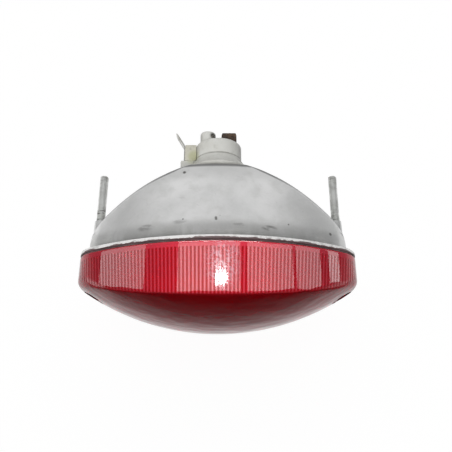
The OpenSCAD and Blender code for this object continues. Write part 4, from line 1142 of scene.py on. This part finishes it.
# Bulb pins: two brass pegs in the cap's sides, one further back, so that the bulb fits one way.
pegs = []
for turn, y in PIN_PLACES:
    peg = turned("bulb_pegs", [
        (0, 0.00751), (0.0010, 0.00751), (0.0010, 0.0084), (0.0008, 0.0086), (0, 0.0086)], steps=36)
    pegs.append(placed(peg, (0, y, 0), (turn, "Y"), (-90, "Z")))
finished(joined(pegs[0], ("UNION", pegs[1])), "bulb_pins", "bulb", brass)


# Bulb contacts: two blobs of solder on the cap's end.
blobs = [turned("bulb_solder", [
    (0, 0.03812), (0.0015, 0.03812), (0.00148, 0.0384), (0.0012, 0.03875), (0.0006, 0.0389), (0, 0.0389)],
    (side * CONTACT_X, 0), 36) for side in (-1, 1)]
finished(joined(blobs[0], ("UNION", blobs[1])), "bulb_contacts", "bulb", tinned, 60)


# Bulb glass: a blown clear envelope whose neck runs down into the brass cap.
LIGHT_Y, NECK_END_Y = -0.0003, 0.0246
lines = []
for inset in (0, 0.0008):
    radius, neck_r = 0.0125 - inset, 0.00675 - inset
    line = [(radius * math.sin(a), LIGHT_Y - radius * math.cos(a)) for a in map(math.radians, range(0, 126, 5))]
    ball_end = line.pop()
    line += fillet((neck_r, 0.0095), ball_end, (neck_r, 0.0148), 8)
    lines.append(line + [(neck_r, NECK_END_Y)])
envelope = turned("bulb_envelope", lines[0] + lines[1][::-1])
glass = Look("clear_glass")
smoke = glass.stained(70, 0.45, 0.75)
colour = glass.blended((0.98, 0.985, 0.98), (smoke, (0.90, 0.90, 0.88)))
glass.finish(glass.noise(120), 0.05, 0.0002, Base_Color=colour, Roughness=smoke.ranged(0, 1, 0.0, 0.06), IOR=1.5,
             Transmission_Weight=1)
finished(envelope, "bulb_glass", "bulb", glass)


# Bulb stem: the pressed glass mount that closes the neck and carries the filaments' wires.
stem = turned("bulb_stem_mount", [
    (0, 0.0087), (0.0024, 0.0087), (0.0029, 0.0092), (0.0030, 0.0105),
    *fillet((0.0030, 0.0212), (0.0030, 0.0185), (0.0057, 0.0228), 7),
    (0.0059, 0.0234), (0.0059, NECK_END_Y), (0, NECK_END_Y)], steps=64)
for vert in stem.data.vertices:
    # the mount is pressed flat at its tip
    if vert.co.y < 0.017:
        vert.co.z *= 0.62 + 0.38 * max(0, (vert.co.y - 0.0125) / 0.0045)
finished(stem, "bulb_stem", "bulb", glass)


# Filaments: two tungsten coils across nickel wires that stand in the mount. The stop light's is
# the longer one, at the bowl's focus, and the tail light's lies behind it.
tungsten = Look("tungsten")
burnt = tungsten.stained(800, 0.4, 0.7)
colour = tungsten.blended((0.36, 0.36, 0.38), (burnt, (0.22, 0.21, 0.22)))
tungsten.finish(burnt, 0.2, 0.00003, Base_Color=colour, Metallic=1, Roughness=burnt.ranged(0, 1, 0.3, 0.5))
for name, reach, y, z in (("stop_filament", 0.0022, LIGHT_Y, -0.001),
                          ("tail_filament", 0.0017, LIGHT_Y + 0.0028, 0.0016)):
    coil = wound(
        name + "_wires", (-reach, y, z), tungsten, along_x=True, Turns=12.0, Radius=0.00033, Length=2 * reach,
        Steps=20, Height=0.00007, Round=True)
    for x in (-reach, reach):
        joined(coil, ("UNION", pin("leg", 0.00022, y - 0.0003, 0.00868, (x, z), 12)))
    finished(coil, name, "bulb", tungsten, 50)
